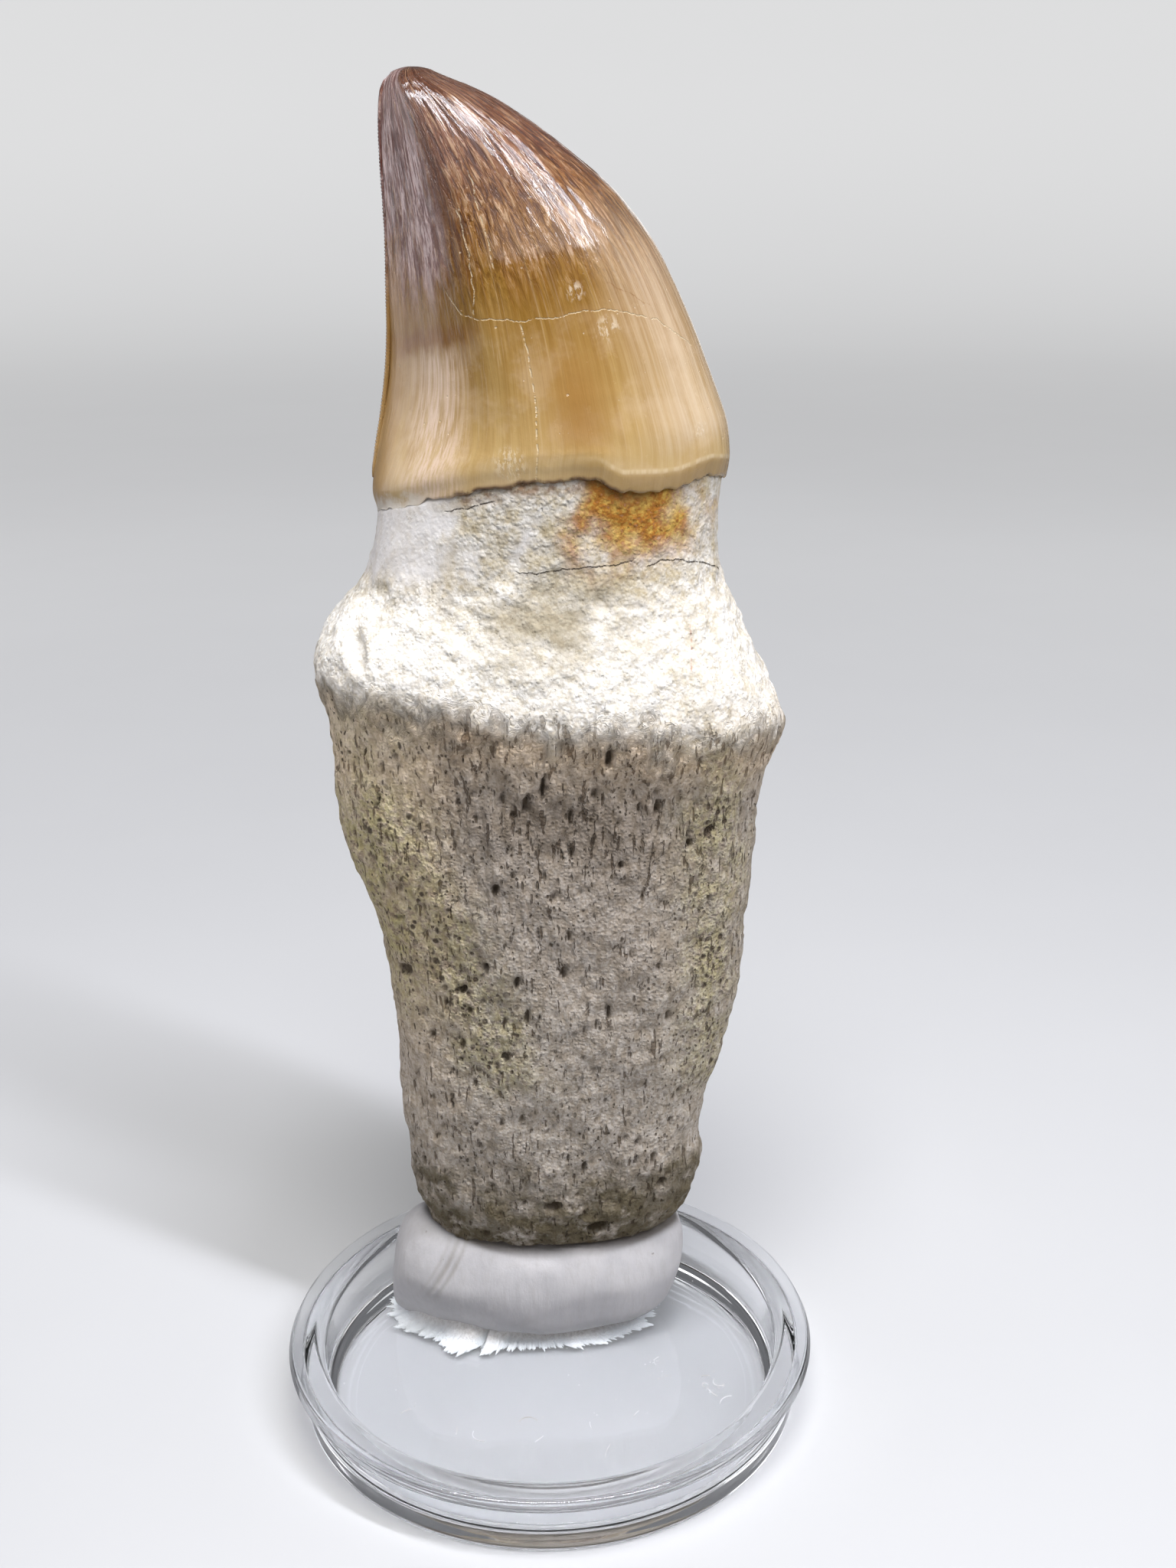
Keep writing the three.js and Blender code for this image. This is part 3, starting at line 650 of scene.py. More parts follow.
def make_smear():
    """The thin ragged smear round the putty's foot: rings about its middle at shares of the edge's distance,
    which is frayed by fine spikes, and a low dome in section, higher at the front's left, where the putty was
    pulled out."""
    count = 900
    angle = np.linspace(-np.pi, np.pi, count, endpoint=False)
    edge = np.array(SMEAR_EDGE) - SMEAR_MIDDLE
    edge_angle = np.arctan2(edge[:, 1], edge[:, 0])
    order = np.argsort(edge_angle)
    reach = np.interp(angle, edge_angle[order], np.hypot(edge[:, 0], edge[:, 1])[order], period=2.0 * np.pi)
    c, s = np.cos(angle) * reach, np.sin(angle) * reach
    coarse = np.abs(soft_noise(c * 2.6, s * 2.6, 0 * c, 91))
    fine = np.abs(soft_noise(c * 6.0, s * 6.0, 0 * c, 93))
    spikes = 0.85 * (coarse + 0.8 * fine) - 0.30 + 0.25 * soft_noise(c * 0.8, s * 0.8, 0 * c, 95)
    share = np.array([1.0, 0.995, 0.97, 0.93, 0.87, 0.80, 0.72, 0.62, 0.5, 0.3, 0.1])[:, None]
    height = np.array([0.0, 0.05, 0.12, 0.24, 0.48, 0.80, 1.15, 1.5, 1.7, 1.7, 1.7])[:, None]
    flare = bell(angle, -2.62, 0.62)
    height = height * (1.0 + 1.7 * flare)
    distance = (reach - 0.1) * share + spikes * smooth_step(0.86, 1.0, share)
    x = SMEAR_MIDDLE[0] + np.cos(angle) * distance
    y = SMEAR_MIDDLE[1] + np.sin(angle) * distance
    lumps = 0.12 * layered_noise((x, y, 0 * x), (1.1, 1.1, 1.0), 2, 97) * height
    foot = FLOOR_THICKNESS + 0.02
    z = foot + height + lumps
    return closed_grid("putty_smear", (x, y, z), (*SMEAR_MIDDLE, foot), (*SMEAR_MIDDLE, foot + 1.7),
                       {"thin": share + 0 * x})


def arc(middle_r, middle_z, radius, start, turn, steps):
    """Points of a turn about a middle, as radius and height: angles in degrees, from start by turn."""
    angle = np.radians(start + turn * np.linspace(0.0, 1.0, steps + 1))
    return np.stack([middle_r + radius * np.cos(angle), middle_z + radius * np.sin(angle)], axis=-1)


def straight(start, end, steps):
    """Points between two places, without the two ends."""
    share = np.linspace(0.0, 1.0, steps + 2)[1:-1][:, None]
    return np.asarray(start) * (1.0 - share) + np.asarray(end) * share


def make_dish():
    """The clear dish: its profile turned about the upright axis. From under the foot it goes up the wall,
    round the flange and the rim, down the lip into the recess and along the floor to the middle."""
    foot, under_flange, flange, rim, lip, floor_round = 0.5, 0.25, 0.35, 0.4, 1.1, 1.3
    underside = 0.25
    flange_z = DISH_HEIGHT - FLANGE_HEIGHT
    rim_r = DISH_RADIUS - 0.2
    profile = np.vstack([
        straight((0.0, underside), (WALL_RADIUS - 2.4, underside), 6),
        [(WALL_RADIUS - 2.3, 0.2), (WALL_RADIUS - 2.1, 0.02)],
        arc(WALL_RADIUS - foot, foot, foot, -90, 90, 8),
        straight((WALL_RADIUS, foot), (WALL_RADIUS, flange_z), 4),
        arc(WALL_RADIUS + under_flange, flange_z - under_flange, under_flange, 180, -90, 4),
        arc(DISH_RADIUS - flange, flange_z + flange, flange, -90, 90, 6),
        arc(rim_r - rim, DISH_HEIGHT - rim, rim, 0, 90, 6),
        arc(RECESS_RADIUS + lip, DISH_HEIGHT - lip, lip, 90, 90, 10),
        straight((RECESS_RADIUS, DISH_HEIGHT - lip), (RECESS_RADIUS, FLOOR_THICKNESS + floor_round), 4),
        arc(RECESS_RADIUS - floor_round, FLOOR_THICKNESS + floor_round, floor_round, 0, -90, 10),
        straight((RECESS_RADIUS - floor_round, FLOOR_THICKNESS), (0.0, FLOOR_THICKNESS), 8),
    ])
    profile = profile[profile[:, 0] > 0.01]
    angle = full_turn(240)
    x = profile[:, 0:1] * np.cos(angle)
    y = profile[:, 0:1] * np.sin(angle)
    z = profile[:, 1:2] + 0 * x
    return closed_grid("clear_dish", (x, y, z), (0.0, 0.0, underside), (0.0, 0.0, FLOOR_THICKNESS))


def make_dust():
    """Specks and short fibres on the dish's floor. A speck is a squashed eight-sided crystal, and a fibre a
    four-sided tube along a bent line; all are joined in one mesh."""
    random = np.random.RandomState(7)
    count, clustered, steps = 170, 60, 10
    radius = 21.0 * np.sqrt(random.rand(count))
    turn = random.rand(count) * 2.0 * np.pi
    level = np.full(count, FLOOR_THICKNESS + 0.03)
    middle = np.stack([radius * np.cos(turn), radius * np.sin(turn), level], axis=-1)
    cluster = np.array([[10.9, -1.8], [10.3, 0.5], [16.0, -4.0], [14.6, -1.2]])
    near = random.randint(0, len(cluster), clustered)
    middle[:clustered, :2] = cluster[near] + random.randn(clustered, 2) * (0.5, 0.35)
    size = (0.03 + 0.07 * random.rand(count) ** 2)[:, None, None] * np.array([1.3, 1.0, 0.5])
    corners = np.array([[1, 0, 0], [0, 1, 0], [-1, 0, 0], [0, -1, 0], [0, 0, 1], [0, 0, -1.0]])
    specks = middle[:, None, :] + corners[None] * size * (0.6 + 0.8 * random.rand(count, 6, 1))
    triangles = np.array([[i, (i + 1) % 4, 4] for i in range(4)] + [[(i + 1) % 4, i, 5] for i in range(4)])
    speck_faces = (triangles[None] + 6 * np.arange(count)[:, None, None]).reshape(-1, 3)
    fibre_at = np.array([
        (-2.3, -7.4), (-9.0, -9.0), (-7.3, -10.2), (8.0, -7.3), (-1.2, -10.5), (10.3, 0.5), (3.6, -8.8),
        (15.2, -2.0), (16.0, -3.4), (15.6, -4.6), (16.6, -5.4), (14.8, -3.2), (-14.0, -6.0), (5.0, -12.4),
    ])
    fibres = len(fibre_at)
    heading = random.rand(fibres, 1) * np.pi
    length = 0.7 + 1.5 * random.rand(fibres, 1)
    bend = random.randn(fibres, 1) * 1.2
    along = np.linspace(-0.5, 0.5, steps)[None, :]
    course = heading + bend * along
    px = fibre_at[:, 0:1] + length * along * np.cos(course)
    py = fibre_at[:, 1:2] + length * along * np.sin(course)
    pz = FLOOR_THICKNESS + 0.035 + 0.10 * (0.25 - along ** 2) * random.rand(fibres, 1)
    side = 0.028 * np.array([[-1, -1], [1, -1], [1, 1], [-1, 1.0]])
    ring_x = px[..., None] - np.sin(course)[..., None] * side[:, 0]
    ring_y = py[..., None] + np.cos(course)[..., None] * side[:, 0]
    ring_z = pz[..., None] + 0 * ring_x + side[:, 1]
    tubes = np.stack([ring_x, ring_y, ring_z], axis=-1).reshape(-1, 3)
    f, i, j = np.meshgrid(np.arange(fibres), np.arange(steps - 1), np.arange(4), indexing="ij")
    first = 6 * count + (f * steps + i) * 4
    tube_faces = np.stack([first + j, first + j + 4, first + (j + 1) % 4 + 4, first + (j + 1) % 4], axis=-1)
    start = 6 * count + 4 * steps * np.arange(fibres)[:, None]
    ends = np.vstack([start + np.arange(4), start + 4 * steps - 1 - np.arange(4)])
    points = np.vstack([specks.reshape(-1, 3), tubes])
    return mesh_object("dust", points, [speck_faces, tube_faces.reshape(-1, 4), ends], smooth=False)


def make_floor():
    """A wide pale floor that turns up into a soft bowl far away, so that no edge of it shows: height is a
    smooth step of the distance from the middle."""
    level_to, outer, bowl_height = 900.0, 4000.0, 1600.0
    radius = np.concatenate([np.linspace(20.0, level_to, 20), np.linspace(1000.0, outer, 60)])[:, None]
    angle = full_turn(96)
    x, y = radius * np.cos(angle), radius * np.sin(angle)
    z = bowl_height * smooth_step(level_to, outer, radius) + 0 * x
    rings, columns = x.shape
    points = np.vstack([[(0.0, 0.0, 0.0)], np.stack([x, y, z], axis=-1).reshape(-1, 3)])
    faces = ring_faces(rings, columns, 1)
    j = np.arange(columns)
    fan = np.stack([np.zeros(columns, int), 1 + j, 1 + (j + 1) % columns], axis=-1)
    return mesh_object("studio_floor", points, [faces[:, ::-1], fan])


class Value:
    """A shader node's output. Plain arithmetic with it adds Math nodes to its tree."""

    def __init__(self, socket):
        self.socket = socket
        self.tree = socket.id_data

    def __add__(self, other):
        return maths("ADD", self, other)

    def __sub__(self, other):
        return maths("SUBTRACT", self, other)

    def __rsub__(self, other):
        return maths("SUBTRACT", other, self)

    def __mul__(self, other):
        return maths("MULTIPLY", self, other)

    def __truediv__(self, other):
        return maths("DIVIDE", self, other)

    def __rtruediv__(self, other):
        return maths("DIVIDE", other, self)

    def __abs__(self):
        return maths("ABSOLUTE", self)


class Outputs:
    """A shader node's outputs, by name or number."""

    def __init__(self, node):
        self.node = node

    def __getitem__(self, key):
        return Value(self.node.outputs[key])


def tree_of(*values):
    """The node tree of the first value that comes from a node."""
    return next(value.tree for value in values if isinstance(value, Value))


def set_inputs(node, inputs):
    """Links a node's inputs to other nodes' outputs, or gives them plain numbers, vectors or colours."""
    for key, value in inputs.items():
        socket = node.inputs[key]
        if isinstance(value, Value):
            value.tree.links.new(value.socket, socket)
        elif socket.type == "RGBA":
            socket.default_value = rgb(value)
        else:
            socket.default_value = value


def rgb(colour):
    """A colour with full alpha."""
    return (*colour[:3], 1.0)


def add(tree, kind, inputs=None, **settings):
    """Adds a shader node with its settings and inputs, and gives its outputs."""
    node = tree.nodes.new("ShaderNode" + kind)
    for name, value in settings.items():
        setattr(node, name, value)
    set_inputs(node, inputs or {})
    return Outputs(node)


def maths(operation, *values):
    """One Math node's answer."""
    return add(tree_of(*values), "Math", dict(enumerate(values)), operation=operation)[0]


def largest(value, *others):
    """The largest of several values."""
    for other in others:
        value = maths("MAXIMUM", value, other)
    return value


def between(value, low, high, start=0.0, end=1.0):
    """A value's smooth way from low to high, given as start to end."""
    inputs = {"Value": value, "From Min": low, "From Max": high, "To Min": start, "To Max": end}
    return add(value.tree, "MapRange", inputs, interpolation_type="SMOOTHSTEP")[0]


def close_to(value, middle, far, near=0.0):
    """1 where a value is within near of a middle, and 0 from far on."""
    return between(abs(value - middle), far, near)


def blend(first, second, share, way="MIX"):
    """Two colours mixed by the second one's share."""
    settings = {"data_type": "RGBA", "blend_type": way, "clamp_factor": True}
    return add(tree_of(first, second, share), "Mix", {0: share, 6: first, 7: second}, **settings)[2]


def tinted(colour, tint, share=1.0):
    """A colour multiplied by a tint, over a share of the surface."""
    return blend(colour, tint, share, "MULTIPLY")


def noise(vector, scale, detail=2.0, roughness=0.5, distortion=0.0):
    """A noise texture's value, centred on 0.5."""
    inputs = {"Vector": vector, "Scale": scale, "Detail": detail, "Roughness": roughness}
    return add(vector.tree, "TexNoise", {**inputs, "Distortion": distortion})["Fac"]


def stretched(vector, factors):
    """A vector with each of its parts multiplied by that part of another vector."""
    return add(tree_of(vector), "VectorMath", {0: vector, 1: factors}, operation="MULTIPLY")[0]


def strands(vector, across, along, detail, roughness, distortion=0.0):
    """Noise drawn out along the vector's last part: its cells are across times as many to the sides, and
    along times as many along it."""
    return noise(stretched(vector, (across, across, along)), 1.0, detail, roughness, distortion)


def length_of(vector):
    """A vector's length."""
    return add(vector.tree, "VectorMath", {0: vector}, operation="LENGTH")["Value"]


def parts_of(vector):
    """A vector's x, y and z."""
    parts = add(vector.tree, "SeparateXYZ", {0: vector})
    return parts[0], parts[1], parts[2]


def on_points(tree, *names):
    """Numbers that the mesh carries on its points."""
    return [add(tree, "Attribute", attribute_name=name)["Fac"] for name in names]


def bump(height, strength=1.0):
    """Normals bent by a height in millimetres."""
    return add(height.tree, "Bump", {"Strength": strength, "Distance": MM, "Height": height})["Normal"]


def new_group(name, inputs, outputs):
    """An empty shader node group: its inputs, and the node that takes its outputs. Its inputs' first values
    tell their kinds."""
    tree = bpy.data.node_groups.new(name, "ShaderNodeTree")
    for key, value in inputs.items():
        kind = {type(None): "Vector", float: "Float", tuple: "Color"}[type(value)]
        made = tree.interface.new_socket(key, in_out="INPUT", socket_type="NodeSocket" + kind)
        if value is not None:
            made.default_value = value
    for key, kind in outputs.items():
        tree.interface.new_socket(key, in_out="OUTPUT", socket_type="NodeSocket" + kind)
    return Outputs(tree.nodes.new("NodeGroupInput")), tree.nodes.new("NodeGroupOutput")


def placed(group, inputs):
    """A node group placed in a material with its own values."""
    node = tree_of(*inputs.values()).nodes.new("ShaderNodeGroup")
    node.node_tree = group
    set_inputs(node, inputs)
    return Outputs(node)


def pitting_group():
    """Pits at random places: cells of a width and a height, a share of which hold a pit of random size."""
    inputs = {"Vector": None, "Width": 1.0, "Height": 1.0, "Share": 0.5, "Size": 0.3}
    start, end = new_group("Pitting", inputs, {"Pit": "Float"})
    tree = end.id_data
    across = 1.0 / start["Width"]
    cell = add(tree, "CombineXYZ", {0: across, 1: across, 2: 1.0 / start["Height"]})[0]
    place = stretched(start["Vector"], cell)
    bend = add(tree, "TexNoise", {"Vector": place, "Scale": 2.3, "Detail": 2.0})["Color"]
    bend = stretched(bend, (0.28, 0.28, 0.28))
    place = add(tree, "VectorMath", {0: place, 1: bend}, operation="ADD")[0]
    cells = add(tree, "TexVoronoi", {"Vector": place, "Scale": 1.0}, feature="F1")
    numbers = add(tree, "SeparateColor", {0: cells["Color"]})
    radius = start["Size"] * (numbers[1] * 0.65 + 0.35)
    pit = between(cells["Distance"] / radius, 1.0, 0.45)
    set_inputs(end, {"Pit": pit * maths("LESS_THAN", numbers[0], start["Share"])})
    return tree


def crumb_group():
    """Round crumbs of a width on layered noise: each cell holds a dome of random height. Gives the height
    and how hollow a point is, which is where a cell's border meets a low place."""
    start, end = new_group("Crumbs", {"Vector": None, "Width": 0.5}, {"Height": "Float", "Hollow": "Float"})
    tree = end.id_data
    scale = 1.0 / start["Width"]
    cells = add(tree, "TexVoronoi", {"Vector": start["Vector"], "Scale": scale}, feature="F1")
    number = add(tree, "SeparateColor", {0: cells["Color"]})[0]
    layers = noise(start["Vector"], scale * 0.8, 3.0, 0.58)
    dome = between(cells["Distance"], 0.66, 0.05) * (number * 0.7 + 0.2)
    hollow = between(cells["Distance"], 0.36, 0.60) * between(layers, 0.54, 0.42)
    set_inputs(end, {"Height": dome * 0.6 + layers * 0.9, "Hollow": hollow})
    return tree


def hairline_group():
    """A thin line along a parabola: offset is the coordinate across minus (origin + slope s + bend s^2),
    where s is the coordinate along from its own origin. Wander shifts it by noise, and gaps break it."""
    inputs = {"Across": 0.0, "Along": 0.0, "Origin across": 0.0, "Origin along": 0.0, "Slope": 0.0,
              "Bend": 0.0, "Start": 0.0, "End": 1.0, "Half width": 0.06, "Wander": 0.3, "Gaps": 0.0}
    start, end = new_group("Hairline", inputs, {"Line": "Float"})
    along = start["Along"]
    s = along - start["Origin along"]
    offset = start["Across"] - start["Origin across"] - (s * start["Bend"] + start["Slope"]) * s
    seed = start["Origin across"] * 3.7 + along

    def wave(scale, detail, roughness):
        """Noise along the line."""
        inputs = {"W": seed, "Scale": scale, "Detail": detail, "Roughness": roughness}
        return add(seed.tree, "TexNoise", inputs, noise_dimensions="1D")["Fac"]

    drift = (wave(0.45, 6.0, 0.62) - 0.5) * start["Wander"]
    line = between(abs(offset + drift) / start["Half width"], 1.0, 0.35)
    ends = between(along - start["Start"], 0.0, 0.4) * between(start["End"] - along, 0.0, 0.4)
    whole = between(wave(1.7, 4.0, 0.7) - start["Gaps"], -0.04, 0.22)
    set_inputs(end, {"Line": line * ends * whole})
    return end.id_data


def mottle_group():
    """Two colours mixed by layered noise of a width, with a given share of the second."""
    inputs = {"Vector": None, "Width": 2.0, "Share": 0.5, "First": (0.5, 0.5, 0.5, 1.0),
              "Second": (0.7, 0.7, 0.7, 1.0)}
    start, end = new_group("Mottle", inputs, {"Color": "Color"})
    layers = noise(start["Vector"], 1.0 / start["Width"], 4.0, 0.6)
    share = between(layers - (0.85 - start["Share"] * 0.7), -0.17, 0.17)
    set_inputs(end, {"Color": blend(start["First"], start["Second"], share)})
    return end.id_data


PITTING = pitting_group()
CRUMBS = crumb_group()
HAIRLINE = hairline_group()
MOTTLE = mottle_group()


def pits(vector, width, height, share, size):
    """Where the pits are, from the pitting group."""
    inputs = {"Vector": vector, "Width": width, "Height": height, "Share": share, "Size": size}
    return placed(PITTING, inputs)["Pit"]


def mottled(vector, width, share, first, second):
    """The mottle group's colour."""
    inputs = {"Vector": vector, "Width": width, "Share": share, "First": first, "Second": second}
    return placed(MOTTLE, inputs)["Color"]


def hairline(across, along, origin, ends, half_width, wander, gaps, slope=0.0, bend=0.0):
    """The hairline group's line. Its origin is given across and along, and its ends along."""
    inputs = {"Across": across, "Along": along, "Origin across": origin[0], "Origin along": origin[1],
              "Slope": slope, "Bend": bend, "Start": ends[0], "End": ends[1], "Half width": half_width,
              "Wander": wander, "Gaps": gaps}
    return placed(HAIRLINE, inputs)["Line"]


def new_material(name, roughness, ior=1.5):
    """A material, its Principled shader, and the piece's own coordinates in millimetres."""
    material = bpy.data.materials.new(name)
    material.use_nodes = True
    tree = material.node_tree
    shader = tree.nodes["Principled BSDF"]
    set_inputs(shader, {"Roughness": roughness, "IOR": ior})
    place = stretched(add(tree, "TexCoord")["Object"], (1.0 / MM, 1.0 / MM, 1.0 / MM))
    return material, shader, place


def on_front(y):
    """1 on the side of the tooth that faces -Y."""
    return between(y, TOOTH_Y + 0.5, TOOTH_Y - 0.5)


def bone_material():
    """Weathered fossil bone: chalky white above, grey-beige and pitted below, with ochre and brown stains."""
    material, shader, place = new_material("weathered_bone", 0.85)
    x, y, z = parts_of(place)
    upright = stretched(place, (1.0, 1.0, 0.45))
    names = ("white", "pore", "smooth", "ledge", "shaded", "yellow", "spongy")
    white, pore, smooth, ledge, shaded, yellow, spongy = on_points(place.tree, *names)
    below = 1.0 - white
    rough_part = 1.0 - smooth
    grain = add(place.tree, "Mix", {0: below, 4: place, 5: upright}, data_type="VECTOR")[1]
    coarse = placed(CRUMBS, {"Vector": grain, "Width": 0.75})
    fine = placed(CRUMBS, {"Vector": place, "Width": 0.36})
    fissured = largest(ledge * between(x, -13.0, -6.0, 0.3, 1.0), shaded)
    slits = strands(place, 2.1, 0.42, 3.0, 0.55) - fissured * 0.050
    slits = between(slits, 0.385, 0.325) * largest(below, fissured)
    hollow = largest(coarse["Hollow"], fine["Hollow"]) * rough_part * (below * 0.12 + 0.30)
    clusters = largest(between(noise(upright, 0.22, 3.0, 0.6), 0.40, 0.60, 0.15, 1.0), yellow)
    long_pits = pits(place, 0.65, 2.0, 0.8, 0.30) * below * clusters
    small_pits = pits(place, 0.45, 0.6, 0.6, 0.36) * (below * 0.75 + 0.25) * rough_part * clusters
    grouped = between(noise(place, 0.5, 3.0, 0.6), 0.40, 0.52, 0.30, 1.2)
    holes = pits(place, 0.80, 0.90, 0.95, 0.50) * spongy * grouped
    pitted = largest(long_pits, small_pits, holes)
    dark = largest(pore, pitted * 0.95) * (below * 0.55 + 0.38)
    crack, red_line = bone_cracks(x, y, z)
    colour = bone_colour(place, upright, white, smooth, ledge, shaded, yellow, spongy)
    # Painted shade: the hollows between the crumbs are darkened
    colour = tinted(colour, (0.50, 0.43, 0.31), hollow)
    colour = tinted(colour, (0.24, 0.19, 0.14), slits * 0.78)
    colour = blend(colour, (0.095, 0.07, 0.045), dark)
    colour = blend(colour, (0.06, 0.045, 0.03), crack * 0.85)
    colour = blend(colour, (0.42, 0.20, 0.12), red_line * 0.6)
    height = coarse["Height"] * (white * -0.10 + 0.25) + fine["Height"] * (below * 0.06 + 0.10)
    height = height * (smooth * -0.65 + 1.0) * (spongy * 0.5 + 1.0)
    height = height - slits * 0.16 - pitted * 0.24 - crack * 0.30
    set_inputs(shader, {"Base Color": colour, "Normal": bump(height), "Roughness": smooth * -0.25 + 0.9,
                        "Specular IOR Level": 0.3})
    return material


def bone_colour(place, upright, white, smooth, ledge, shaded, yellow, spongy):
    """The bone's colour before its pits: grey-beige mixed with chalk, painted light and shade, and the stains
    over them.
    """
    x, y, z = parts_of(place)
    bright, beige, orange, rim, brown = on_points(place.tree, "bright", "beige", "orange", "rim", "brown")
    grey = mottled(upright, 3.2, 0.5, (0.42, 0.37, 0.32), (0.465, 0.415, 0.365))
    grey = blend(grey, (0.62, 0.57, 0.51), between(z, 50.0, 30.0) * 0.4)
    # Painted shade below the shelf's lip
    grey = blend(grey, (0.27, 0.225, 0.18), shaded * 0.80)
    # Painted light: the ledge and the root's left side paler and warmer, and a pale patch low on the left
    # side
    grey = blend(grey, (0.74, 0.63, 0.51), ledge * 0.9)
    grey = blend(grey, (0.92, 0.82, 0.69), between(x, -8.0, -13.0) * between(z, 54.0, 62.0) * 0.7)
    grey = tinted(grey, mottled(upright, 0.6, 0.5, (0.78, 0.75, 0.70), (1.0, 1.0, 1.0)))
    chalk = mottled(place, 2.0, 0.58, (0.52, 0.45, 0.32), (0.69, 0.66, 0.61))
    # Painted light: the shelf's slope whitened where it faces the light from above
    chalk = blend(chalk, (0.93, 0.92, 0.90), bright * 0.8)
    chalk = tinted(chalk, mottled(place, 0.5, 0.6, (0.86, 0.82, 0.73), (1.0, 1.0, 1.0)))
    # The chalk over the grey, with a warm tint over the ledge as painted light
    colour = tinted(blend(grey, chalk, white), (1.0, 0.91, 0.80), ledge * 0.6)
    colour = blend(colour, (0.385, 0.335, 0.24), beige * 0.95)
    colour = blend(colour, (0.76, 0.74, 0.755), smooth * 0.6)
    speckle = noise(place, 1.5, 4.0, 0.65)
    stained = largest(yellow, spongy * 0.6)
    colour = blend(colour, (0.52, 0.46, 0.20), stained * between(speckle, 0.34, 0.58) * 0.72)
    colour = blend(colour, (0.21, 0.15, 0.085), stained * between(speckle, 0.48, 0.36) * 0.7)
    patches = noise(place, 0.55, 4.0, 0.7)
    grains = noise(place, 2.2, 3.0, 0.6)
    ochre = blend((0.34, 0.13, 0.015), (0.52, 0.33, 0.07), between(grains * 0.6 + patches, 0.68, 1.0))
    colour = blend(colour, ochre, orange * between(grains, 0.18, 0.45, 0.75, 1.0))
    colour = blend(colour, (0.24, 0.115, 0.04), rim * between(patches, 0.40, 0.60, 0.15, 0.8))
    blotches = between(noise(place, 0.5, 4.0, 0.6), 0.26, 0.52)
    return blend(colour, (0.125, 0.10, 0.055), brown * blotches * 0.95)


def bone_cracks(x, y, z):
    """The dark cracks across the neck, and a short reddish line on the shelf, on the front only."""
    crack = largest(
        hairline(z, x, (81.95, 0.8), (-1.8, 8.2), 0.085, 0.9, 0.36, slope=0.05, bend=0.005),
        hairline(z, x, (82.2, 11.0), (9.1, 16.2), 0.085, 0.9, 0.36, bend=-0.08),
        hairline(z, x, (87.2, -5.6), (-7.6, -3.2), 0.085, 0.9, 0.36, slope=0.27))
    red_line = hairline(x, z, (13.0, 75.0), (73.0, 77.0), 0.12, 0.4, 0.4)
    return crack * on_front(y), red_line * on_front(y)


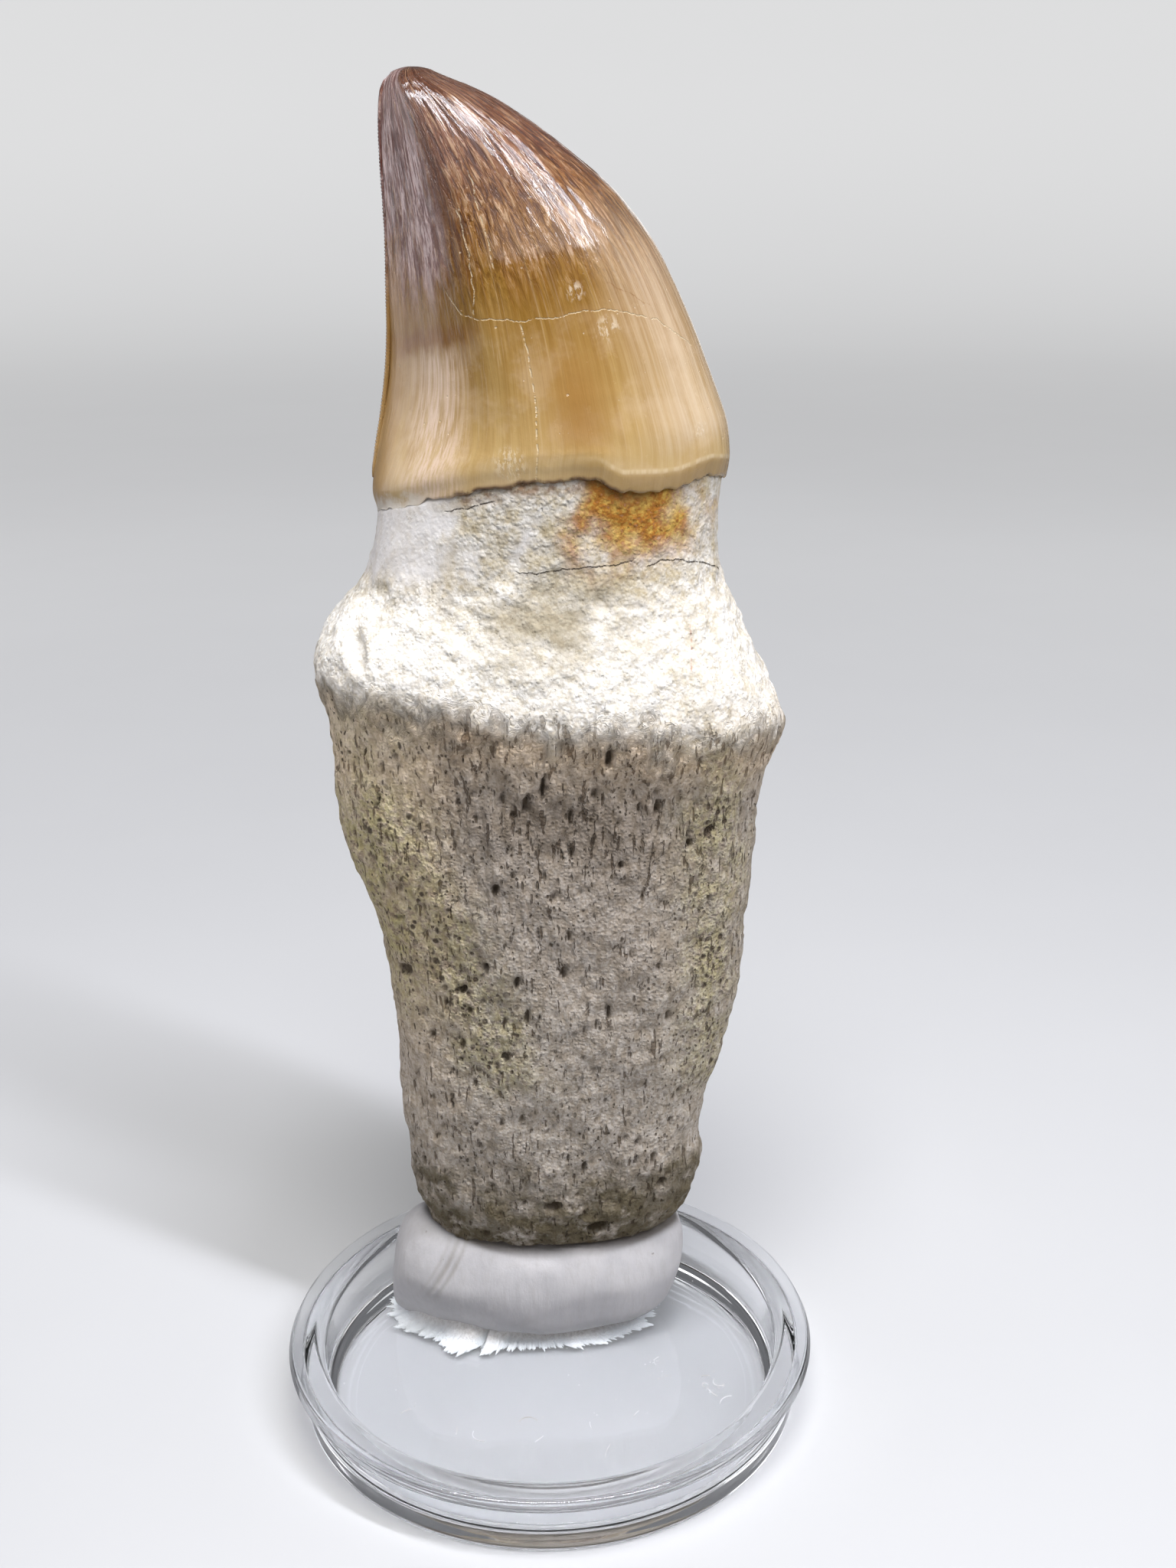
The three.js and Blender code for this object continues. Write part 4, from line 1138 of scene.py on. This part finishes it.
def enamel_material():
    """Fossil enamel: tan at the base, ochre in the middle and red-brown at the tip, finely striped along its
    length, glossy, with pale cracks and a few worn marks."""
    material, shader, place = new_material("fossil_enamel", 0.3, 1.6)
    x, y, z = parts_of(place)
    front = on_front(y)
    lengthwise = add(place.tree, "Attribute", attribute_name="lengthwise")["Vector"]
    around = parts_of(lengthwise)[0]
    rise, above, flat_face = on_points(place.tree, "rise", "above", "flat_face")
    stripe = strands(lengthwise, 26.0, 1.8, 4.0, 0.65)
    hair = strands(lengthwise, 55.0, 3.0, 2.0, 0.6)
    ridge = strands(lengthwise, 21.0, 15.0, 4.0, 0.70, 0.6)
    ragged = noise(place, 0.6, 4.0, 0.65)
    streaks = between(stripe, 0.35, 0.68)
    ridged_part = between(rise, 0.40, 0.66)
    dark_ridge = between(ridge, 0.52, 0.43) * ridged_part
    pale_ridge = between(ridge, 0.53, 0.63) * ridged_part

    colour = enamel_colour(lengthwise, rise, stripe)
    colour = tinted(colour, (0.70, 0.56, 0.42), streaks * between(rise, 0.20, 0.60, 0.20, 0.34))
    hairs = between(hair, 0.56, 0.72) * between(rise, 0.75, 0.45)
    colour = blend(colour, (0.72, 0.58, 0.40), hairs * 0.13)
    cloud = between(noise(place, 0.30, 4.0, 0.6), 0.44, 0.64) * between(rise, 0.50, 0.34, 0.0, 0.24)
    colour = blend(colour, (0.60, 0.45, 0.30), cloud)
    colour = tinted(colour, (0.32, 0.22, 0.15), dark_ridge * 0.85)
    colour = blend(colour, (0.64, 0.45, 0.27), pale_ridge * 0.34)
    colour, dull = flat_face_colour(colour, x, z, lengthwise, rise, flat_face)
    shadow = between(rise, 0.42, 0.72) * between(rise, 0.98, 0.86) * close_to(around, -0.42, 0.16) * front
    colour = blend(colour, (0.07, 0.027, 0.013), shadow * 0.75)
    warm = close_to(around, 0.17, 0.3) * close_to(rise, 0.24, 0.2, 0.02)
    colour = blend(colour, (0.29, 0.145, 0.035), warm * 0.8)
    right_side = between(around, 0.40, 0.70) * between(rise, 0.72, 0.48) * between(above, 2.0, 4.5)
    colour = blend(colour, (0.52, 0.41, 0.30), right_side * (streaks * -0.3 + 0.55))

    # Painted reflection: a pale veil under the glossy band, whose lower end is cut off level but for the
    # ridges
    cut = z - x * 0.14 + ridge * 3.0
    reflection_veil = between(cut, 108.3, 108.7) * between(cut, 113.5, 109.0) * between(x, -4.5, -2.0)
    reflection_veil = reflection_veil * between(x, 7.0, 5.0) * front * (pale_ridge * 0.40 + 0.12)
    colour = blend(colour, (0.60, 0.44, 0.34), reflection_veil)

    crack, crease = enamel_cracks(x, z, front)
    scuffs = enamel_scuffs(place, x, z, front)
    chips = pits(place, 0.7, 0.7, 0.12, 0.20)
    colour = blend(colour, (0.20, 0.09, 0.03), crease * 0.5)
    colour = blend(colour, (0.72, 0.60, 0.40), crack * 0.55)
    colour = blend(colour, (0.76, 0.66, 0.52), scuffs * 0.40)
    colour = margin_colour(colour, x, above, ragged, stripe, front)
    colour = blend(colour, (0.78, 0.66, 0.48), chips * 0.35)

    height = ridge * (ridged_part * 0.30 + 0.02) + stripe * 0.04 + hair * 0.030
    height = height + noise(place, 2.2, 3.0, 0.6) * 0.02 + noise(place, 5.0, 2.0, 0.6) * scuffs * 0.03
    polished = between(cut, 107.9, 108.7) * (shadow * -0.85 + 1.0) * (1.0 - flat_face)
    sheen = flat_face * (dull * -0.7 + 0.6) * between(rise, 0.45, 0.78)
    worn = noise(place, 0.8, 4.0, 0.6) * 0.20 + 0.14
    set_inputs(shader, {
        "Base Color": colour, "Roughness": worn + flat_face * 0.10,
        "Normal": bump(height - crack * 0.05 - chips * 0.03),
        "Coat Weight": largest(polished, sheen) * 0.80 + 0.20, "Coat Normal": bump(height, 0.17),
        "Coat Roughness": 0.08, "Specular IOR Level": 0.22})
    return material


def enamel_colour(lengthwise, rise, stripe):
    """The enamel's colour by its height, with broad and fine stripes that shift it."""
    broad = strands(lengthwise, 5.0, 1.6, 3.0, 0.6)
    ramp = add(rise.tree, "ValToRGB", {0: rise + (broad - 0.5) * 0.30 + (stripe - 0.5) * 0.20})
    stops = [(0.02, (0.50, 0.36, 0.175)), (0.12, (0.46, 0.315, 0.13)), (0.30, (0.345, 0.215, 0.070)),
             (0.48, (0.235, 0.122, 0.022)), (0.62, (0.215, 0.095, 0.020)), (0.80, (0.16, 0.058, 0.020)),
             (1.0, (0.16, 0.065, 0.036))]
    elements = ramp.node.color_ramp.elements
    for element, (position, stop) in zip(elements, (stops[0], stops[-1])):
        element.position = position
        element.color = rgb(stop)
    for position, stop in stops[1:-1]:
        elements.new(position).color = rgb(stop)
    return ramp["Color"]


def margin_colour(colour, x, above, ragged, stripe, front):
    """The enamel's margin: faded at the left, dark along its edge, and rolled at the right, with a painted
    highlight line along the rolled lip.
    """
    flush = between(x, -8.0, -10.5) * between(above - ragged * 3.0, -0.2, -1.4)
    colour = blend(colour, (0.70, 0.65, 0.57), flush * 0.85)
    edge = between(above, 0.5, 0.1) * between(x, -8.5, -5.5) * between(x, 10.0, 6.0)
    colour = blend(colour, (0.11, 0.042, 0.014), edge * between(ragged, 0.36, 0.50) * 0.85)
    rolled = between(above, 2.0, 1.2) * between(x, 0.0, 5.0)
    colour = tinted(colour, (0.70, 0.63, 0.49), rolled * 0.8)
    # Painted highlight: a pale line along the rolled lip, where light catches its crest
    lip_highlight = close_to(above, 1.75, 0.30, 0.05) * between(x, 3.0, 7.5) * front
    return blend(colour, (0.78, 0.66, 0.47), lip_highlight * between(stripe, 0.40, 0.60, 0.3, 1.0) * 0.40)


def flat_face_colour(colour, x, z, lengthwise, rise, flat_face):
    """The flat face beside the serrated edge: a mauve-grey painted sheen above with red-brown blotches, a
    slanting growth band, a pale painted highlight with fine threads below and an ochre strip along the edge.
    Also gives where the blotches are."""
    around = parts_of(lengthwise)[0]
    # Painted sheen: a mauve-grey tint in patches over the upper face, standing in for the lilac sheen of
    # light on it
    patch = between(strands(lengthwise, 7.0, 7.0, 5.0, 0.7), 0.36, 0.60)
    colour = blend(colour, (0.61, 0.455, 0.44), flat_face * patch * between(rise, 0.42, 0.60) * 0.80)
    upper = flat_face * between(rise, 0.46, 0.60)
    blotch = between(strands(lengthwise, 8.0, 8.0, 5.0, 0.72, 0.3), 0.50, 0.58) * upper
    colour = blend(colour, (0.11, 0.035, 0.025), blotch * 0.80)
    dashes = between(strands(lengthwise, 40.0, 22.0, 3.0, 0.65), 0.52, 0.42) * upper
    colour = blend(colour, (0.12, 0.04, 0.03), dashes * 0.70)
    slant = z - x * 0.27 - 102.7
    wave = strands(lengthwise, 5.0, 5.0, 4.0, 0.65)
    growth = close_to(slant + wave * 3.4, 1.7, 1.6, 0.1) * between(x, -3.0, -7.0)
    colour = tinted(colour, (0.60, 0.38, 0.30), growth * 0.6)
    # Painted highlight: a pale band with fine threads low on the face, where its rounded part catches the
    # light
    threads = between(strands(lengthwise, 45.0, 2.5, 3.0, 0.6), 0.35, 0.65, 0.15, 0.75)
    pale = close_to(around, -0.64, 0.24, 0.04) * between(slant + wave * 3.0, 1.2, -0.6)
    colour = blend(colour, (0.70, 0.54, 0.43), pale * threads)
    edge_strip = between(around, -0.84, -0.95) * between(rise, 0.66, 0.50)
    colour = blend(colour, (0.38, 0.215, 0.07), edge_strip * 0.6)
    return colour, largest(blotch, dashes)


def enamel_cracks(x, z, front):
    """The pale cracks: three along the crown's length, a level one that dips to the right, and a branch at
    its left end. Also gives a short dark crease."""
    right_part = largest(x - 8.0, 0.0)
    dipping = z + right_part * right_part * 0.1 - maths("SINE", x * 0.47 - 0.87) * 0.35
    crack = largest(
        hairline(x, z, (0.25, 93.0), (89.5, 102.0), 0.10, 0.35, 0.42, bend=-0.0148),
        hairline(x, z, (-4.6, 102.7), (102.4, 111.0), 0.08, 0.6, 0.38, bend=-0.02),
        hairline(x, z, (-3.2, 107.3), (106.0, 113.6), 0.08, 0.6, 0.40, slope=-0.262),
        hairline(dipping, x, (102.45, 0.0), (-5.6, 13.4), 0.07, 1.0, 0.36),
        hairline(z, x, (103.9, -6.7), (-7.2, -5.4), 0.11, 0.8, 0.36, slope=-1.3))
    crease = hairline(z, x, (105.0, 5.9), (5.8, 9.8), 0.08, 1.0, 0.38, slope=-0.54)
    return crack * front, crease * front


def enamel_scuffs(place, x, z, front):
    """Small rubbed patches of pale specks at four places on the front: x, z and reach in mm."""
    places = [(3.5, 104.3, 1.0), (6.1, 101.4, 1.3), (-2.0, 91.0, 1.7), (13.9, 92.9, 0.8)]
    patches = []
    for middle_x, middle_z, reach in places:
        offset = add(place.tree, "CombineXYZ", {0: x - middle_x, 1: z - middle_z})[0]
        patches.append(between(length_of(offset), reach, reach * 0.4))
    specks = between(strands(place, 3.2, 1.5, 3.0, 0.6), 0.46, 0.60)
    return largest(*patches) * specks * front


def putty_material():
    """Matte ivory putty with faint pulled streaks and a few dark specks, with painted shade in its folds and
    a painted shadow in the gap under the root.
    """
    material, shader, place = new_material("ivory_putty", 0.62)
    fold_shade, contact_shadow = on_points(place.tree, "fold_shade", "contact_shadow")
    pulled = strands(place, 2.2, 0.35, 4.0, 0.6)
    specks = pits(place, 1.5, 1.5, 0.30, 0.11)
    tone = mottled(place, 4.0, 0.55, (0.47, 0.46, 0.47), (0.53, 0.515, 0.52))
    tone = blend(tone, (0.44, 0.42, 0.41), between(pulled, 0.45, 0.70, 0.0, 0.35))
    tone = blend(tone, (0.34, 0.30, 0.26), specks * 0.5)
    # Painted shade in the folds
    tone = blend(tone, (0.26, 0.23, 0.19), fold_shade * 0.6)
    # Painted shadow in the gap under the root
    tone = blend(tone, (0.07, 0.055, 0.04), contact_shadow * 0.9)
    height = pulled * 0.05 + noise(place, 3.5, 4.0, 0.6) * 0.025 - specks * 0.06
    set_inputs(shader, {"Base Color": tone, "Normal": bump(height),
                        "Roughness": between(noise(place, 0.6, 2.0), 0.3, 0.7, 0.52, 0.72)})
    return material


def smear_material():
    """The putty's thin smear, streaked outwards and thinner at its edge. Its colour is painted light: far
    paler than the putty, and bluish white at its thin edge, for light catching it and shining through it.
    """
    material, shader, place = new_material("putty_smear_film", 0.7)
    streak = noise(place, 2.6, 4.0, 0.7)
    thin = on_points(place.tree, "thin")[0]
    # Painted light: far paler than the putty it is made of, and bluish white where thin
    cream = blend((0.92, 0.90, 0.88), (0.76, 0.73, 0.70), between(streak, 0.42, 0.62))
    tone = blend(cream, (0.93, 0.97, 1.0), between(thin, 0.82, 0.95))
    set_inputs(shader, {"Base Color": tone, "Normal": bump(streak * 0.25),
                        "Roughness": between(streak, 0.3, 0.7, 0.6, 0.8)})
    return material


def clear_material():
    """Clear moulded plastic with faint ripples, fine handling marks and a slightly cloudy touch."""
    material, shader, place = new_material("clear_plastic_moulding", 0.03, 1.49)
    ripple = noise(place, 0.25, 2.0, 0.5)
    scratch = between(noise(stretched(place, (5.0, 0.5, 1.0)), 1.0, 2.0, 0.5, 0.6), 0.72, 0.78)
    smudge = between(noise(place, 0.3, 4.0, 0.65), 0.4, 0.75, 0.015, 0.09)
    set_inputs(shader, {"Base Color": (0.975, 0.985, 1.0), "Transmission Weight": 1.0,
                        "Normal": bump(ripple * 0.014 + scratch * 0.002),
                        "Roughness": scratch * 0.05 + smudge})
    return material


def dust_material():
    """Pale dust and lint."""
    material, shader, place = new_material("pale_dust", 0.9)
    tone = mottled(place, 3.0, 0.5, (0.52, 0.50, 0.47), (0.82, 0.83, 0.86))
    set_inputs(shader, {"Base Color": tone})
    return material


def floor_material():
    """A plain pale studio floor, with only a trace of mottling. Its far part glows a little, only where it is
    seen, so that the backdrop is even and adds no light of its own."""
    material, shader, place = new_material("pale_floor", 0.75)
    distance = length_of(place)
    ray = add(place.tree, "LightPath")
    seen = largest(ray["Is Camera Ray"], ray["Is Transmission Ray"])
    glow = between(distance, 60.0, 420.0, 0.12, 0.36) + between(distance, 350.0, 1500.0, 0.0, 0.30)
    set_inputs(shader, {
        "Base Color": mottled(place, 160.0, 0.5, (0.50, 0.505, 0.515), (0.52, 0.525, 0.535)),
        "Emission Color": blend((0.0, 0.0, 0.0), (1.0, 1.0, 1.0), glow * seen),
        "Emission Strength": 1.0, "Specular IOR Level": 0.0})
    return material


def finish_piece(piece, material, node):
    """Gives a piece its material, hangs it under the root body, and hides the solid of the node that it
    stands for, if there is one.
    """
    piece.data.materials.append(material)
    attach(piece, "root")
    if node:
        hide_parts(node)


def add_camera():
    """A camera at the photograph's viewpoint, turned by the fitted yaw, pitch and roll."""
    yaw, pitch, roll = (math.radians(v) for v in (CAMERA_YAW, CAMERA_PITCH, CAMERA_ROLL))
    ahead = Vector((math.sin(yaw) * math.cos(pitch), math.cos(yaw) * math.cos(pitch), -math.sin(pitch)))
    level = Vector((math.cos(yaw), -math.sin(yaw), 0.0))
    up = level.cross(ahead)
    right = level * math.cos(roll) + up * math.sin(roll)
    top = up * math.cos(roll) - level * math.sin(roll)
    data = bpy.data.cameras.new("photo_camera")
    data.lens = CAMERA_LENS
    data.sensor_width = SENSOR
    data.sensor_fit = "AUTO"
    data.clip_start = 0.005
    data.clip_end = 20.0
    camera = bpy.data.objects.new("photo_camera", data)
    turn = Matrix((right, top, -ahead)).transposed().to_4x4()
    camera.matrix_world = Matrix.Translation(Vector(CAMERA_PLACE) * MM) @ turn
    bpy.context.scene.collection.objects.link(camera)
    bpy.context.scene.camera = camera


def direction(azimuth, elevation):
    """A unit step away from the crown. Azimuth 0 is in front and positive is to the right."""
    turn, lift = math.radians(azimuth), math.radians(elevation)
    return Vector((math.sin(turn) * math.cos(lift), -math.cos(turn) * math.cos(lift), math.sin(lift)))


def add_softbox(name, offset, run, width, height, power, colour):
    """A rectangular soft light at an offset in metres from the crown, which it faces. Its width lies along
    run, and its light fades out well before its own plane."""
    away = offset.normalized()
    side = (run - away * run.dot(away)).normalized()
    data = bpy.data.lights.new(name, "AREA")
    data.shape = "RECTANGLE"
    data.size = width
    data.size_y = height
    data.energy = power
    data.color = colour
    data.spread = math.radians(130.0)
    light = bpy.data.objects.new(name, data)
    turn = Matrix((side, away.cross(side), away)).transposed().to_4x4()
    light.matrix_world = Matrix.Translation(Vector(LIGHT_AIM) * MM + offset) @ turn
    light.visible_camera = False
    bpy.context.scene.collection.objects.link(light)
    return light


def add_strip(name, start, end, height, power, colour):
    """A soft light as long as the way between two offsets from the crown."""
    return add_softbox(name, (start + end) / 2.0, end - start, (end - start).length, height, power, colour)


def add_lights():
    """Soft studio light: a wide box in front and above with a bright strip before it, a smaller and harder
    key light and a fill light at the left that leave no reflections of their own, a box at the right, a
    strip over the tip and boxes at the left and behind that only glint, and a pale sky."""
    near, far = 0.45, 0.8
    ahead = Vector((0.0, 1.0, 0.0))
    add_softbox("front_softbox", direction(2.0, 46.5) * 0.5, LEVEL, 0.52, 0.40, 0.22, (1.0, 0.99, 0.97))
    start, end = direction(30.0, 76.0) * near, direction(50.0, 36.0) * near
    add_strip("strip_softbox", start, end, 0.026, 1.0, (0.92, 0.93, 1.0))
    start, end = direction(22.0, 64.0) * near, direction(-62.0, 58.0) * near
    tip = add_strip("tip_softbox", start, end, 0.040, 1.1, (0.94, 0.94, 1.0))
    place = Vector((-0.012, -0.10, 0.235))
    key = add_softbox("key_light", place, LEVEL, 0.10, 0.09, 0.33, (1.0, 0.99, 0.98))
    place = direction(-104.0, 3.0) * near
    left = add_softbox("left_softbox", place, ahead, 0.30, 0.30, 0.32, (0.97, 0.94, 1.0))
    place = direction(-104.0, 14.0) * far
    fill = add_softbox("left_fill", place, ahead, 0.53, 0.33, 0.66, (0.97, 0.95, 1.0))
    add_softbox("right_softbox", direction(98.0, 16.0) * far, ahead, 0.57, 0.40, 0.60, (1.0, 0.98, 0.97))
    place = direction(178.0, 2.4) * near
    back = add_softbox("back_softbox", place, LEVEL, 0.24, 0.16, 0.10, (1.0, 1.0, 1.0))
    for light in (key, fill):
        light.visible_glossy = False
    for light in (tip, left, back):
        light.visible_diffuse = False
    world = bpy.data.worlds.new("pale_sky")
    world.use_nodes = True
    sky = world.node_tree.nodes["Background"]
    set_inputs(sky, {"Color": (0.93, 0.95, 1.0), "Strength": 0.15})
    bpy.context.scene.world = world


add_camera()
add_lights()
bpy.context.scene.view_settings.view_transform = "Standard"

enamel = enamel_material()
finish_piece(make_root(), bone_material(), "tooth")
finish_piece(make_crown(), enamel, "tooth")
finish_piece(make_serrated_edge(), enamel, "tooth")
finish_piece(make_putty(), putty_material(), "putty")
finish_piece(make_smear(), smear_material(), "putty")
finish_piece(make_dish(), clear_material(), "dish")
finish_piece(make_dust(), dust_material(), None)

floor = make_floor()
floor.data.materials.append(floor_material())
